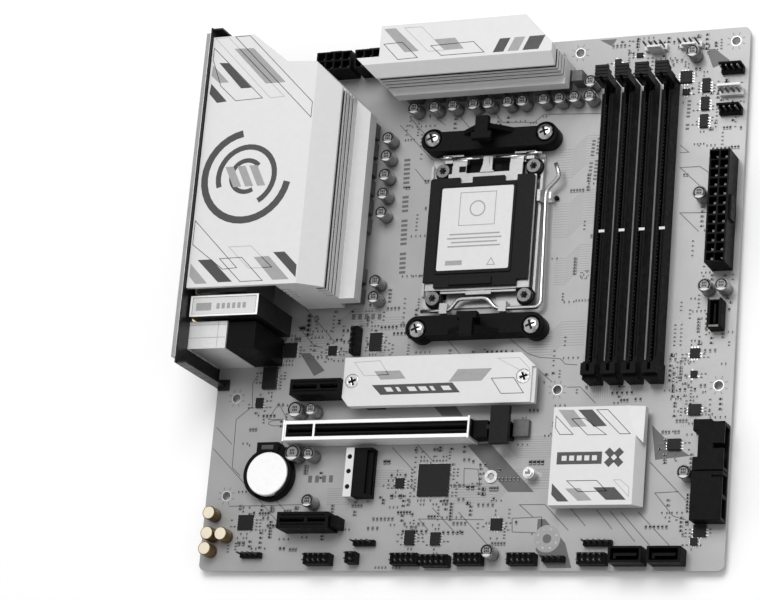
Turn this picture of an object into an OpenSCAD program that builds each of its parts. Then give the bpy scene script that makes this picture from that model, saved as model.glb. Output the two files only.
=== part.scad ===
// Micro-ATX computer motherboard with finned heat sinks, fixed rear panel and socketed
// connectors. Every piece is drawn in board coordinates: x runs from the rear edge to the
// front edge, y from the expansion slot edge to the processor power edge, and z is height
// above the component side. place() moves that onto the shared origin.

/* [Board] */
// side of the square board, micro-ATX standard
board_side = 243.84; // [200:0.01:250]
// thickness of the board
board_thick = 1.6; // [1.2:0.1:2.4]
// corner rounding of the board
corner_r = 3; // [1:0.5:6]
// diameter of each mounting hole
mount_hole_d = 3.96; // [3.5:0.01:4.5]

/* [Heat sinks] */
// top of the rear cover and its heat sink
cover_top = 40.2; // [34:0.1:41]
// top of the heat sink along the power edge
sink_top = 34.5; // [26:0.1:38]
// height step from one fin to the next
fin_pitch = 3.6; // [3:0.1:5]
// height of each groove between fins
groove_h = 1.4; // [0.8:0.1:2]
// depth of each groove
groove_depth = 4.5; // [1:0.5:5]
// top of the storage heat sink
m2_sink_top = 9; // [7:0.1:12]
// top of the chipset heat sink
chip_sink_top = 9; // [7:0.1:12]

/* [Sockets] */
// distance between memory slots
dimm_pitch = 9.15; // [7.6:0.01:10.2]
// width of a memory slot
dimm_w = 5.2; // [5:0.1:6.5]
// distance between expansion slot positions
slot_pitch = 20.32; // [20:0.01:21]
// height of the expansion slots
slot_top = 11.25; // [10:0.05:12]
// distance between cooler screws along x
cooler_dx = 54; // [48:0.1:60]
// distance between cooler screws along y
cooler_dy = 90; // [84:0.1:96]

/* [Rear panel] */
// how far the antenna jacks stand out behind the board
jack_reach = 8.4; // [5:0.1:12]
// top of the rear panel plate
panel_top = 41.8; // [40:0.1:44]

/* [Hidden] */
$fn = 48;
gap = 0.1;
// distance from the component side down to what the board rests on
rest_depth = 4.2;
panel_end_y = 246.2;
mid_x = (board_side - jack_reach) / 2;
mid_y = panel_end_y / 2;

// mounting holes: columns and rows
hole_col_rear = 10.16;
hole_col_cover = 33.02;
hole_col_mid = 165.1;
hole_col_front = 237.49;
hole_row_low = 34.29;
hole_row_slot = 13.97;
hole_row_mid = 80.01;
hole_row_top = 237.49;
mount_holes = [
    [hole_col_cover, hole_row_top],
    [hole_col_mid, hole_row_top],
    [hole_col_front, hole_row_top],
    [hole_col_rear, hole_row_mid],
    [hole_col_mid, hole_row_mid],
    [hole_col_front, hole_row_mid],
    [hole_col_rear, hole_row_low],
    [hole_col_mid, hole_row_slot]];

// processor socket
cpu_x = 127;
cpu_y = 152.2;
ilm_dx = 43.5;
ilm_dy = 60.3;
cooler_hole_d = 4.4;
ilm_hole_d = 3.4;

// colours
c_board = [0.72, 0.73, 0.74];
c_white = [0.92, 0.92, 0.92];
c_black = [0.07, 0.07, 0.075];
c_dark = [0.16, 0.16, 0.17];
c_grey = [0.42, 0.42, 0.43];
c_steel = [0.75, 0.75, 0.76];
c_gold = [0.83, 0.66, 0.33];
c_pad = [0.55, 0.6, 0.66];

// ---------------------------------------------------------------- helpers

module place() {
    translate([-mid_x, -mid_y, rest_depth]) children();
}

// box from one corner to the opposite corner
module span(a, b) {
    translate(a) cube([b[0] - a[0], b[1] - a[1], b[2] - a[2]]);
}

// upright plate with four round corners
module round_plate(a, b, r) {
    w = b[0] - a[0];
    d = b[1] - a[1];
    h = b[2] - a[2];
    translate(a) {
        translate([r, 0, 0]) cube([w - 2 * r, d, h]);
        translate([0, r, 0]) cube([w, d - 2 * r, h]);
        for (x = [r, w - r], y = [r, d - r])
            translate([x, y, 0]) cylinder(h = h, r = r);
    }
}

// upright cylinder between two heights
module post(x, y, z0, z1, r) {
    translate([x, y, z0]) cylinder(h = z1 - z0, r = r);
}

// twelve sided rod between two points, run on a little past each so that bends close
module rod(p, q, r) {
    d = q - p;
    len = norm(d);
    over = r * 0.35;
    translate(p - d * over / len)
        rotate([0, acos(d[2] / len), atan2(d[1], d[0])])
            cylinder(h = len + 2 * over, r = r, $fn = 12);
}

// pan head screw, its head resting at height z
module pan_screw(x, y, z, head_d, head_h, shank_d, shank_len) {
    cross_w = head_d * 0.16;
    cross_len = head_d * 0.62;
    difference() {
        post(x, y, z, z + head_h, head_d / 2);
        for (a = [0, 90])
            translate([x, y, z + head_h])
                rotate([0, 0, a + 20])
                    cube([cross_len, cross_w, head_h], center = true);
    }
    if (shank_len > 0) post(x, y, z - shank_len, z, shank_d / 2);
}

// ---------------------------------------------------------------- board

m2_post_x_short = 137.5;
m2_post_x_long = 156.5;
m2_lower_y = 42.6;
m2_upper_y = 84;
sink_screw_left = [[57, 130], [57, 205]];
sink_screw_top = [[92, 230], [150, 230]];
sink_screw_chip = [[171, 66], [200.5, 30]];
under_holes = concat(sink_screw_left, sink_screw_top, sink_screw_chip);
under_hole_d = 3.4;
screw_reach = 7.4;

module pcb() {
    color(c_board) place() difference() {
        round_plate([0, 0, -board_thick], [board_side, board_side, 0], corner_r);
        for (p = mount_holes) post(p[0], p[1], -2, 1, mount_hole_d / 2);
        for (sx = [-1, 1], sy = [-1, 1]) {
            post(cpu_x + sx * cooler_dx / 2, cpu_y + sy * cooler_dy / 2, -2, 1, cooler_hole_d / 2);
            post(cpu_x + sx * ilm_dx / 2, cpu_y + sy * ilm_dy / 2, -2, 1, ilm_hole_d / 2);
        }
        for (p = under_holes) post(p[0], p[1], -2, 1, under_hole_d / 2);
    }
}

// ---------------------------------------------------------------- heat sinks

ledge_z = 16;
ledge_under = 8.8;
cover_shell = 2;
cover_front_y = 120.5;
cover_back_y = 242;
core_left = 43;
fin_wall_x = 64.4;
ledge_x = 71.6;
cover_edge_x = 54.2;
facet_low = 33.2;
foot_z = 2.6;
first_groove_h = 2.4;

// fin grooves cut into a wall that faces +x, from the facet down to the ledge
module wall_grooves_x(x, y0, y1, top_z, count) {
    for (i = [0:count - 1]) {
        h = i == 0 ? first_groove_h : groove_h;
        z = top_z - i * fin_pitch;
        span([x - groove_depth, y0, z - h], [x + 1, y1, z]);
    }
}

module wall_grooves_y(y, x0, x1, top_z, count) {
    for (i = [0:count - 1]) {
        h = i == 0 ? first_groove_h : groove_h;
        z = top_z - i * fin_pitch;
        span([x0, y - 1, z - h], [x1, y + groove_depth, z]);
    }
}

module vrm_heatsink_left() {
    shoulder_z = cover_top - cover_shell;
    foot_x = 61.5;
    len = cover_back_y - cover_front_y;
    color(c_white) place() difference() {
        translate([0, cover_back_y, 0]) rotate([90, 0, 0])
            linear_extrude(height = len)
                polygon([[-0.3, cover_top], [cover_edge_x, cover_top], [fin_wall_x, facet_low],
                    [fin_wall_x, ledge_z], [ledge_x, ledge_z], [ledge_x, ledge_under],
                    [foot_x, ledge_under], [foot_x, foot_z], [core_left, foot_z],
                    [core_left, shoulder_z], [-0.3, shoulder_z]]);
        wall_grooves_x(fin_wall_x, 0, cover_back_y, facet_low - 1.2, 4);
        // the same grooves on the hidden side of the core
        for (i = [0:3])
            span([core_left - 1, 0, facet_low - 1.2 - i * fin_pitch - groove_h],
                [core_left + groove_depth, cover_back_y, facet_low - 1.2 - i * fin_pitch]);
        // corners cut away at the power edge, leaving the mounting hole and connectors free
        translate([0, 0, -1]) linear_extrude(height = cover_top + 2)
            polygon([[19.2, 243], [39, 227.2], [53.7, 226.1], [64.4, 215.6], [72, 208.9],
                [74, 208.9], [74, 245], [19.2, 245]]);
        for (p = sink_screw_left) post(p[0], p[1], 0, 9, 1.3);
    }
}

sink_front_y = 224.8;
sink_wall_y = 220;
sink_ledge_y = 216.8;
sink_left_x = 70.3;
sink_right_x = 164.3;
sink_facet_z = 29.6;

module vrm_heatsink_top() {
    width = sink_right_x - sink_left_x;
    color(c_white) place() difference() {
        translate([sink_left_x, 0, 0]) rotate([90, 0, 90])
            linear_extrude(height = width)
                polygon([[243.2, sink_top], [sink_front_y, sink_top], [sink_wall_y, sink_facet_z],
                    [sink_wall_y, ledge_z - 0.5], [sink_ledge_y, ledge_z - 0.5],
                    [sink_ledge_y, ledge_under + 0.4], [226, ledge_under + 0.4], [226, foot_z],
                    [243.2, foot_z]]);
        wall_grooves_y(sink_wall_y, sink_left_x - 1, sink_right_x + 1, sink_facet_z - 1, 4);
        wall_grooves_x(sink_right_x, sink_wall_y - 2, 245, sink_facet_z - 1, 4);
        // clearance beside the processor power connectors
        span([sink_left_x - 1, 228.4, 0], [81.6, 245, sink_top + 1]);
        // left end cut at 45 degrees
        translate([0, 0, -1]) linear_extrude(height = sink_top + 2)
            polygon([[sink_left_x - 1, 229.6], [83.2, 215.7], [83.2, 212], [sink_left_x - 1, 212]]);
        // corner cut away for the mounting hole
        translate([0, 0, -1]) linear_extrude(height = sink_top + 2)
            polygon([[151.2, 243.2], [sink_right_x, 229], [168, 229], [168, 246], [150, 246]]);
        for (p = sink_screw_top) post(p[0], p[1], 0, 9, 1.3);
    }
}

// solid pads under the heat sinks
module thermal_pads() {
    color(c_pad) place() {
        span([45.5, 124, 1.1], [52, 206, foot_z]);
        span([84, 231.5, 1.1], [158, 237.5, foot_z]);
        span([87.5, 77.5, 3.9], [149, 90.5, 5.2]);
        span([180, 39.5, 2.4], [198, 57.5, 3.2]);
        span([68.6, 73.6, 4.6], [73, 76.6, 5.2]);
    }
}

// power stage packages under the pads
stage_pitch = 9.1;
module power_stages() {
    color(c_dark) place() {
        for (i = [0:8]) span([45.8, 124.6 + i * stage_pitch, 0], [51.8, 130.6 + i * stage_pitch, 1.1]);
        for (i = [0:7]) span([84.6 + i * stage_pitch, 231.8, 0], [90.6 + i * stage_pitch, 237.2, 1.1]);
    }
}

choke_side = 7;
choke_top = 7.2;
module chokes() {
    color(c_dark) place() {
        for (y = [122.5, 132, 156, 165.1, 174.2, 183.3, 192.4, 201.5])
            span([63, y, 0], [63 + choke_side, y + choke_side, choke_top]);
        for (i = [0:7])
            span([84 + i * 10.2, 218, 0], [84 + i * 10.2 + choke_side, 218 + choke_side, choke_top]);
        // taller one beside the power edge sink, flat one beside the long slot
        span([164.9, 220.4, 0], [170, 225.6, 9]);
        span([147, 58.7, 0], [154.2, 66.3, 3]);
    }
}

module m2_heatsink() {
    x0 = 66.9;
    x1 = 157.8;
    y0 = 72.3;
    y1 = 94.9;
    cut = 6.5;
    color(c_white) place() difference() {
        translate([0, 0, 5.2]) linear_extrude(height = m2_sink_top - 5.2)
            polygon([[x0, y1], [x0, y0 + 4], [x0 + 3.4, y0], [x1, y0], [x1, y1 - cut],
                [x1 - cut - 0.6, y1]]);
        for (x = [71.1, 152.3]) {
            post(x, m2_upper_y, 4, 7, 1.7);
            post(x, m2_upper_y, 7, 12, 3.3);
        }
        // shallow step along the front end
        span([x1 - 1.6, y0 - 1, m2_sink_top - 1.2], [x1 + 1, y1 - cut, m2_sink_top + 1]);
    }
}

module m2_screws() {
    color(c_steel) place()
        for (x = [71.1, 152.3]) pan_screw(x, m2_upper_y, 7.1, 6.2, 1.8, 3, 2.6);
}

module m2_standoffs() {
    color(c_steel) place() {
        for (x = [71.1, 152.3]) difference() {
            post(x, m2_upper_y, 0, 5.2, 2.6);
            post(x, m2_upper_y, 4.2, 6, 1.6);
        }
        difference() {
            post(m2_post_x_short, m2_lower_y - 1.1, 0, 0.7, 2.9);
            post(m2_post_x_short, m2_lower_y - 1.1, -1, 1, 1.6);
        }
        difference() {
            union() {
                post(m2_post_x_long, m2_lower_y - 0.8, 0, 5.4, 2.6);
                post(m2_post_x_long, m2_lower_y - 0.8, 5.4, 6.2, 2);
            }
            post(m2_post_x_long, m2_lower_y - 0.8, 3, 7, 1.2);
        }
    }
}

// card edge connector for a storage card lying flat, opening towards +x
module m2_connector(x, y, h) {
    w = 22;
    depth = 8.6;
    difference() {
        span([x, y - w / 2, 0], [x + depth, y + w / 2, h]);
        span([x + 3.2, y - w / 2 + 1.1, h / 2 - 0.6], [x + depth + 1, y + w / 2 - 1.1, h / 2 + 1.1]);
        span([x + 6.2, y - w / 2 + 1.1, h / 2 + 1.2], [x + depth + 1, y + w / 2 - 1.1, h + 1]);
    }
}

module m2_connectors() {
    color(c_black) place() {
        m2_connector(76.2, m2_upper_y, 4.4);
        m2_connector(74.2, m2_lower_y + 0.5, 6);
    }
}

// metal strip along the back of the lower storage connector
module m2_connector_strip() {
    x = 70.2;
    y = m2_lower_y + 0.5;
    color(c_white) place() difference() {
        span([x, y - 11.1, 0], [x + 3.9, y + 11.1, 6]);
        for (dy = [-6.6, 0.4, 7]) post(x + 1.9, y + dy, 4, 7, 1.1);
    }
}

chip_x0 = 167.6;
chip_x1 = 208.4;
chip_y0 = 26.4;
chip_y1 = 69.6;
module chipset_heatsink() {
    low = 3.2;
    lip_z = 3.9;
    // start of the steep front facet, and the height it drops to at the outer edge
    facet_x = 205;
    facet_end_y = 56.6;
    // shallow facet on the back corner
    back_facet_x = 200.8;
    back_facet_turn = 16;
    back_facet_tilt = 10.8;
    color(c_white) place() difference() {
        span([chip_x0, chip_y0, low], [chip_x1, chip_y1, chip_sink_top]);
        intersection() {
            translate([0, facet_end_y + 1, 0]) rotate([90, 0, 0]) linear_extrude(height = 40)
                polygon([[facet_x, chip_sink_top], [facet_x, chip_sink_top + 1],
                    [chip_x1 + 1, chip_sink_top + 1], [chip_x1 + 1, lip_z], [chip_x1, lip_z]]);
            linear_extrude(height = chip_sink_top + 2)
                polygon([[facet_x - 1, chip_y0 - 5], [chip_x1 + 2, chip_y0 - 5],
                    [chip_x1 + 2, facet_end_y - chip_x1 - 2 + facet_x],
                    [facet_x - 1, facet_end_y + 1]]);
        }
        translate([back_facet_x, chip_y1, chip_sink_top]) rotate([0, 0, back_facet_turn])
            rotate([0, back_facet_tilt, 0]) translate([0, -40, 0]) cube([30, 80, 10]);
        span([chip_x1 - 1.2, chip_y0 - 1, 2], [chip_x1 + 1, chip_y1 + 1, lip_z]);
        for (p = sink_screw_chip) post(p[0], p[1], 2, screw_reach + 0.2, 1.3);
    }
}

module chipset() {
    color(c_dark) place() {
        span([177, 36.5, 0], [201, 60.5, 1.1]);
        span([183.5, 43, 1.1], [194.5, 54, 2.4]);
    }
}

// screws that hold the heat sinks from below
module heatsink_screws() {
    color(c_steel) place()
        for (p = under_holes) {
            translate([0, 0, -board_thick]) mirror([0, 0, 1])
                pan_screw(p[0], p[1], 0, 5.6, 1.9, 2.4, 0);
            post(p[0], p[1], -board_thick, screw_reach, 1.2);
        }
}

// ---------------------------------------------------------------- capacitors

cap_r = 3;
cap_h = 8;
vrm_row_y = 213.4;
vrm_col_x = 77.3;
vrm_row_x = [89, 99, 108.1, 118.1, 125.2, 134.6, 141.6, 151.7, 159.2, 166.2, 173.5];
vrm_col_y = [123.5, 131, 163.7, 172.8, 181.8, 191, 199.7];

// can with a foot groove and a rounded base pad
module capacitor(x, y, r, h) {
    post(x, y, 0, 0.8, r * 0.98);
    post(x, y, 0.8, 1.4, r * 0.86);
    post(x, y, 1.4, h - 0.5, r);
    translate([x, y, h - 0.5]) cylinder(h = 0.5, r1 = r, r2 = r - 0.35);
}

module vrm_capacitors() {
    color(c_steel) place() {
        for (x = vrm_row_x) capacitor(x, vrm_row_y, cap_r, cap_h);
        for (y = vrm_col_y) capacitor(vrm_col_x, y, cap_r, cap_h);
        capacitor(173.5, vrm_row_y + 7, cap_r, cap_h);
    }
}

module board_capacitors() {
    color(c_steel) place() {
        for (p = [[43.8, 72], [44.6, 52]]) capacitor(p[0], p[1], 3.7, cap_h);
        for (p = [[51.6, 72.1], [52.5, 51.5], [54.1, 30], [226.7, 164.7], [231.2, 122.5],
            [238.7, 122.5], [226.5, 40.6], [220, 231.2], [141, 7.1]])
            capacitor(p[0], p[1], cap_r, cap_h);
    }
}

module audio_capacitors() {
    color(c_gold) place()
        for (p = [[5.6, 25.1], [5.6, 15.8], [12.5, 15.5], [5.2, 8.8]])
            capacitor(p[0], p[1], 3.15, 7);
}

// ---------------------------------------------------------------- processor socket

ilm_x0 = cpu_x - 28.4;
ilm_x1 = cpu_x + 28.6;
ilm_y0 = 114.6;
ilm_y1 = 190;
window_x0 = 106.5;
window_x1 = 144.5;
window_y0 = 132.5;
window_y1 = 174;

// contact housing that the processor sits in
module cpu_socket() {
    color(c_black) place() difference() {
        round_plate([103.4, 129.4, 0], [147.6, 177.2, 4.2], 1.5);
        span([window_x0, window_y0, 1.8], [window_x1, window_y1, 6]);
        span([118, 148, 1.2], [133, 158, 6]);
    }
}

lever_r = 0.95;
lever_y = 116.6;
lever_z = 4.5;
crank_y = 121.8;
bearing_clear = 0.08;

frame_base = 1.2;
boss_top = 3.4;
plate_z = 4.9;
plate_t = 1.1;
plate_hinge_y = 187;
plate_hinge_z = 3.9;
hinge_pin_r = 0.9;
barrel_len = 6.8;
barrel_x = [109.8, 137.4];

// places its children at the four frame screws
module at_frame_screws() {
    for (sx = [-1, 1], sy = [-1, 1])
        translate([cpu_x + sx * ilm_dx / 2, cpu_y + sy * ilm_dy / 2, 0]) children();
}

module socket_frame() {
    wall = 1.1;
    side_top = 3.3;
    side_x = ilm_x1 - 3;
    color(c_steel) place() {
        difference() {
            union() {
                round_plate([ilm_x0, ilm_y0 + 4, 0], [side_x, ilm_y1, frame_base], 2);
                // side walls
                span([ilm_x0, 124, frame_base], [ilm_x0 + wall, 186, side_top]);
                span([side_x - wall, 124, frame_base], [side_x, 186, side_top]);
                // raised seats for the screws
                at_frame_screws() cylinder(h = boss_top, r = 3.6);
                // bearing blocks around the lever wire
                for (x = [109, 137]) span([x, 114.8, 0], [x + 3.6, 119.6, 6.2]);
                // rear wall
                for (x = [104.5, 139]) span([x, 189.2, frame_base], [x + 10, ilm_y1, 5]);
                // retaining post beside the lever
                span([side_x - wall, 165.6, frame_base], [side_x + 0.4, 171, 6.2]);
            }
            span([102.6, 128.6, -1], [148.4, 178, 3]);
            at_frame_screws() translate([0, 0, -1]) cylinder(h = 6, r = ilm_hole_d / 2);
            translate([105, lever_y, lever_z]) rotate([0, 90, 0])
                cylinder(h = 40, r = lever_r + bearing_clear);
        }
        // lugs and pins that the load plate turns on
        for (x = [105.6, 144.8]) span([x, 186.2, frame_base], [x + 3.6, 189.2, 5]);
        translate([105.6, plate_hinge_y, plate_hinge_z]) rotate([0, 90, 0])
            cylinder(h = 7.4, r = hinge_pin_r);
        translate([141, plate_hinge_y, plate_hinge_z]) rotate([0, 90, 0])
            cylinder(h = 7.4, r = hinge_pin_r);
    }
}

module socket_screws() {
    head_d = 6.4;
    head_top = 6.2;
    color(c_grey) place() at_frame_screws() {
        difference() {
            post(0, 0, boss_top, head_top, head_d / 2);
            for (a = [0:60:120])
                translate([0, 0, head_top]) rotate([0, 0, a]) cube([3.2, 1, 2.4], center = true);
        }
        post(0, 0, -3, boss_top, 1.5);
    }
}

module load_plate() {
    x0 = 101.2;
    x1 = 150.6;
    y0 = 125.6;
    y1 = 184.6;
    notch = 8;
    color(c_steel) place() difference() {
        union() {
            span([x0, y0, plate_z], [x1, 180.6, plate_z + plate_t]);
            // tongue that the lever holds down
            span([cpu_x - 6, 123.2, plate_z], [cpu_x + 6, y0 + 1, plate_z + plate_t]);
            // arms back to the hinge
            for (x = barrel_x) {
                span([x, 178, plate_z], [x + barrel_len, y1, plate_z + plate_t]);
                translate([x, plate_hinge_y, plate_hinge_z]) rotate([0, 90, 0])
                    cylinder(h = barrel_len, r = 1.6);
                span([x, y1 - 0.5, plate_z], [x + barrel_len, plate_hinge_y, plate_z + 0.5]);
            }
            span([cpu_x - 2, 178, plate_z], [cpu_x + 2, 188.2, plate_z + plate_t]);
        }
        span([window_x0, window_y0, plate_z - 1], [window_x1, window_y1, plate_z + 3]);
        // corners cut for the frame screws
        for (x = [x0 - 1, x1 + 1 - notch])
            span([x, 178.4, plate_z - 1], [x + notch, 190, plate_z + 3]);
        for (x = barrel_x)
            translate([x - 1, plate_hinge_y, plate_hinge_z]) rotate([0, 90, 0])
                cylinder(h = barrel_len + 2, r = hinge_pin_r + bearing_clear);
    }
}

module socket_cap() {
    color(c_black) place() difference() {
        union() {
            round_plate([100.4, 126.4, 6.1], [150.2, 178.3, 7.5], 1.2);
            // raised panel that carries the label
            round_plate([105.8, 132.6, 7.5], [142.2, 174, 8.1], 1);
            // lift tab
            span([113.4, 127.2, 7.5], [133.6, 130.6, 8.6]);
            // skirt that locates the cap in the load plate's window
            span([window_x0 + 0.5, window_y0 + 0.5, 4.4], [window_x1 - 0.5, window_y1 - 0.5, 6.1]);
        }
        span([window_x0 + 1.7, window_y0 + 1.7, 3], [window_x1 - 1.7, window_y1 - 1.7, 6.6]);
        // corners open over the frame screws
        span([99, 126, 5], [105.6, 129, 9]);
        span([145, 126, 5], [151, 129, 9]);
        for (x = [114.6, 136]) span([x, 175.6, 5], [x + 6, 179, 9]);
    }
}

// label on the cap, left plain
module cap_label() {
    color(c_white) place()
        round_plate([106.9, 134.1, 8.1], [141.1, 173, 8.3], 0.9);
}

function lever_path() = [
    [ilm_x0 + 1.4, lever_y, lever_z], [113.5, lever_y, lever_z], [117.2, crank_y, lever_z],
    [130.8, crank_y, lever_z], [135.4, lever_y, lever_z], [154.6, lever_y, lever_z],
    [156.3, 118.6, lever_z], [155, 170.6, lever_z], [161.6, 176.6, lever_z + 1.4],
    [159.6, 182.6, lever_z + 2.2]];

module load_lever() {
    path = lever_path();
    color(c_steel) place()
        for (i = [0:len(path) - 2]) rod(path[i], path[i + 1], lever_r);
}

// ---------------------------------------------------------------- cooler mount

bracket_top = 8.4;
bracket_inner = 6.2;
bracket_outer = 3.3;
bracket_end_r = 5.6;
// plastic cooler bracket: side is 1 for the power edge, -1 for the slot edge
module cooler_bracket(side) {
    half = cooler_dx / 2;
    hook_w = 4.8;
    stem_w = 3.1;
    hook_under = 14.6;
    hook_top = 17.8;
    color(c_black) place() translate([cpu_x, cpu_y + side * cooler_dy / 2, 0])
        mirror([0, side > 0 ? 0 : 1, 0]) difference() {
            union() {
                for (sx = [-1, 1]) post(sx * half, -0.6, 0, bracket_top, bracket_end_r);
                span([-half, -bracket_inner, 0], [half, bracket_outer, bracket_top]);
                // hook that a clip type cooler pulls on: stem, cross bar and tongue
                span([-stem_w, -4.4, bracket_top - 1], [stem_w, 2.8, hook_under]);
                span([-hook_w, -4.7, hook_under - 0.4], [hook_w, -1.4, hook_top]);
                span([-stem_w, -1.6, hook_under], [stem_w, 6.2, hook_top]);
                // gussets that run from the bar up to the hook
                translate([0, bracket_outer, 0]) rotate([90, 0, 0]) linear_extrude(height = 2.4)
                    polygon([[-12, bracket_top - 0.4], [-12, bracket_top], [-stem_w, hook_under + 0.8],
                        [stem_w, hook_under + 0.8], [12, bracket_top], [12, bracket_top - 0.4]]);
            }
            for (sx = [-1, 1]) {
                post(sx * half, 0, -1, 20, 2.6);
                post(sx * half, 0, bracket_top - 1.4, 20, 4.4);
            }
            // hollow beneath the bar
            span([-half + 9, -bracket_inner + 1.4, -1], [-6, bracket_outer - 1.4, bracket_top - 1.8]);
            span([6, -bracket_inner + 1.4, -1], [half - 9, bracket_outer - 1.4, bracket_top - 1.8]);
        }
}

module cooler_brackets() {
    cooler_bracket(1);
    cooler_bracket(-1);
}

module cooler_screws() {
    color(c_steel) place()
        for (sx = [-1, 1], sy = [-1, 1])
            pan_screw(cpu_x + sx * cooler_dx / 2, cpu_y + sy * cooler_dy / 2,
                bracket_top - 1.4, 8, 3, 3.3, 8.2);
}

// steel plate under the board with threaded posts
module cooler_backplate() {
    low = -rest_depth;
    x0 = cpu_x - 33;
    x1 = cpu_x + 33;
    y0 = cpu_y - 51;
    y1 = cpu_y + 51;
    color(c_grey) place() difference() {
        union() {
            round_plate([x0, y0, low + 0.4], [x1, y1, low + 2.2], 5);
            // rims and pads that stand on the board
            round_plate([x0 + 2, y0 + 2, low + 2.2], [x1 - 2, y1 - 2, -board_thick], 4);
            round_plate([x0 + 6, y0 + 20, low], [x1 - 6, y1 - 20, low + 0.4], 3);
            for (sx = [-1, 1], sy = [-1, 1])
                post(cpu_x + sx * cooler_dx / 2, cpu_y + sy * cooler_dy / 2, low + 1, 3.4, 2.1);
        }
        span([cpu_x - 18, cpu_y - 17, low - 1], [cpu_x + 18, cpu_y + 17, 0]);
        for (sx = [-1, 1], sy = [-1, 1]) {
            post(cpu_x + sx * cooler_dx / 2, cpu_y + sy * cooler_dy / 2, low - 1, 4, 1.75);
            post(cpu_x + sx * ilm_dx / 2, cpu_y + sy * ilm_dy / 2, low - 1, 0, 2);
        }
    }
}

// ---------------------------------------------------------------- memory slots

dimm_x0 = 182.8;
dimm_end_low = 81.3;
dimm_key_y = 148.6;
dimm_body_h = 9.5;
latch_w = 6;
latch_pivot_y = 217.6;
latch_pivot_z = 3.6;
latch_pin_r = 1;

module dimm_slot(n) {
    x = dimm_x0 + n * dimm_pitch;
    half = dimm_w / 2;
    card_half = 0.75;
    color(c_black) place() difference() {
        union() {
            span([x - half, dimm_end_low, 0], [x + half, 213, dimm_body_h]);
            // tower at the fixed end
            span([x - 3.2, dimm_end_low, 0], [x + 3.2, 89.4, 10]);
            span([x - 3.2, dimm_end_low + 1.6, 10], [x + 3.2, 88, 12.8]);
            // cheeks that hold the latch
            span([x - half, 212, 0], [x + half, 219.6, 7.2]);
        }
        // card groove
        span([x - card_half, 84.4, 2.6], [x + card_half, dimm_key_y - 0.8, 20]);
        span([x - card_half, dimm_key_y + 0.8, 2.6], [x + card_half, 222, 20]);
        span([x - card_half, 84.4, 6.4], [x + card_half, 222, 20]);
        // relief grooves beside the card groove
        for (s = [-1, 1])
            span([x + s * 1.75 - 0.25, 91, dimm_body_h - 0.6], [x + s * 1.75 + 0.25, 211, 20]);
        // space for the latch tail
        span([x - 1.65, 213.4, 0.5], [x + 1.65, 222, 20]);
        translate([x - half - 1, latch_pivot_y, latch_pivot_z]) rotate([0, 90, 0])
            cylinder(h = dimm_w + 2, r = latch_pin_r + 0.08);
    }
}

module dimm_slots() {
    for (n = [0:3]) dimm_slot(n);
}

// swinging latch at the power edge end of a slot
module dimm_latch(n) {
    x = dimm_x0 + n * dimm_pitch;
    half = latch_w / 2;
    color(c_dark) place() difference() {
        union() {
            // tail between the cheeks
            span([x - 1.5, 214.6, 2], [x + 1.5, 219.8, 9]);
            translate([x - 1.5, latch_pivot_y, latch_pivot_z]) rotate([0, 90, 0])
                cylinder(h = 3, r = 2.2);
            translate([x - 2.5, latch_pivot_y, latch_pivot_z]) rotate([0, 90, 0])
                cylinder(h = 5, r = latch_pin_r);
            // upright and thumb pad
            span([x - half, 215.8, 8.4], [x + half, 219.8, 19]);
            span([x - half, 216.6, 18], [x + half, 222.5, 20]);
            span([x - half, 218, 14.6], [x + half, 221.2, 18.4]);
            // hook that drops into the card's notch
            span([x - 0.6, 213.8, 12.4], [x + 0.6, 216, 14.2]);
        }
        // groove for the card's edge
        span([x - 0.75, 213, 6.8], [x + 0.75, 217, 12.4]);
        span([x - 0.75, 213, 14.2], [x + 0.75, 217, 21]);
        // thumb ribs
        for (i = [0:2]) span([x - half - 1, 217.6 + i * 1.5, 19.6], [x + half + 1, 218.2 + i * 1.5, 21]);
    }
}

module dimm_latch_1() {
    dimm_latch(0);
}

module dimm_latch_2() {
    dimm_latch(1);
}

module dimm_latch_3() {
    dimm_latch(2);
}

module dimm_latch_4() {
    dimm_latch(3);
}

// ---------------------------------------------------------------- power connectors

cell_pitch = 4.2;
cell = 3.3;
power_h = 12.8;

// block of square cells with a pin in each, corner at the origin, cols along x
module power_header(cols, rows) {
    edge = (cell_pitch - cell) / 2 + 0.4;
    w = cols * cell_pitch + 0.8;
    d = rows * cell_pitch + 0.8;
    difference() {
        cube([w, d, power_h]);
        for (i = [0:cols - 1], j = [0:rows - 1])
            translate([edge + i * cell_pitch, edge + j * cell_pitch, 2.4])
                cube([cell, cell, power_h]);
    }
}

module power_pins(cols, rows) {
    edge = cell_pitch / 2 + 0.4;
    for (i = [0:cols - 1], j = [0:rows - 1])
        translate([edge + i * cell_pitch - 0.5, edge + j * cell_pitch - 0.5, 2.4])
            cube([1, 1, 7]);
}

atx_x = 232;
atx_y = 131;
eps_y = 233.2;
eps_x = [39.8, 59.2];

module atx_power_24pin() {
    color(c_black) place() {
        translate([atx_x, atx_y, 0]) power_header(2, 12);
        // catch for the plug's latch
        span([atx_x + 2 * cell_pitch + 0.8, atx_y + 20, 4.4],
            [atx_x + 2 * cell_pitch + 1.8, atx_y + 31, 10.6]);
    }
}

module cpu_power_8pin() {
    color(c_black) place()
        for (x = eps_x) {
            translate([x, eps_y, 0]) power_header(4, 2);
            span([x + 6, eps_y + 2 * cell_pitch + 0.8, 6], [x + 11.6, eps_y + 10.2, 11]);
        }
}

module power_pins_all() {
    color(c_gold) place() {
        translate([atx_x, atx_y, 0]) power_pins(2, 12);
        for (x = eps_x) translate([x, eps_y, 0]) power_pins(4, 2);
    }
}

// ---------------------------------------------------------------- expansion slots

slot_x0 = 41.8;
slot_y0 = 20.4;
slot_w = 7.4;

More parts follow.
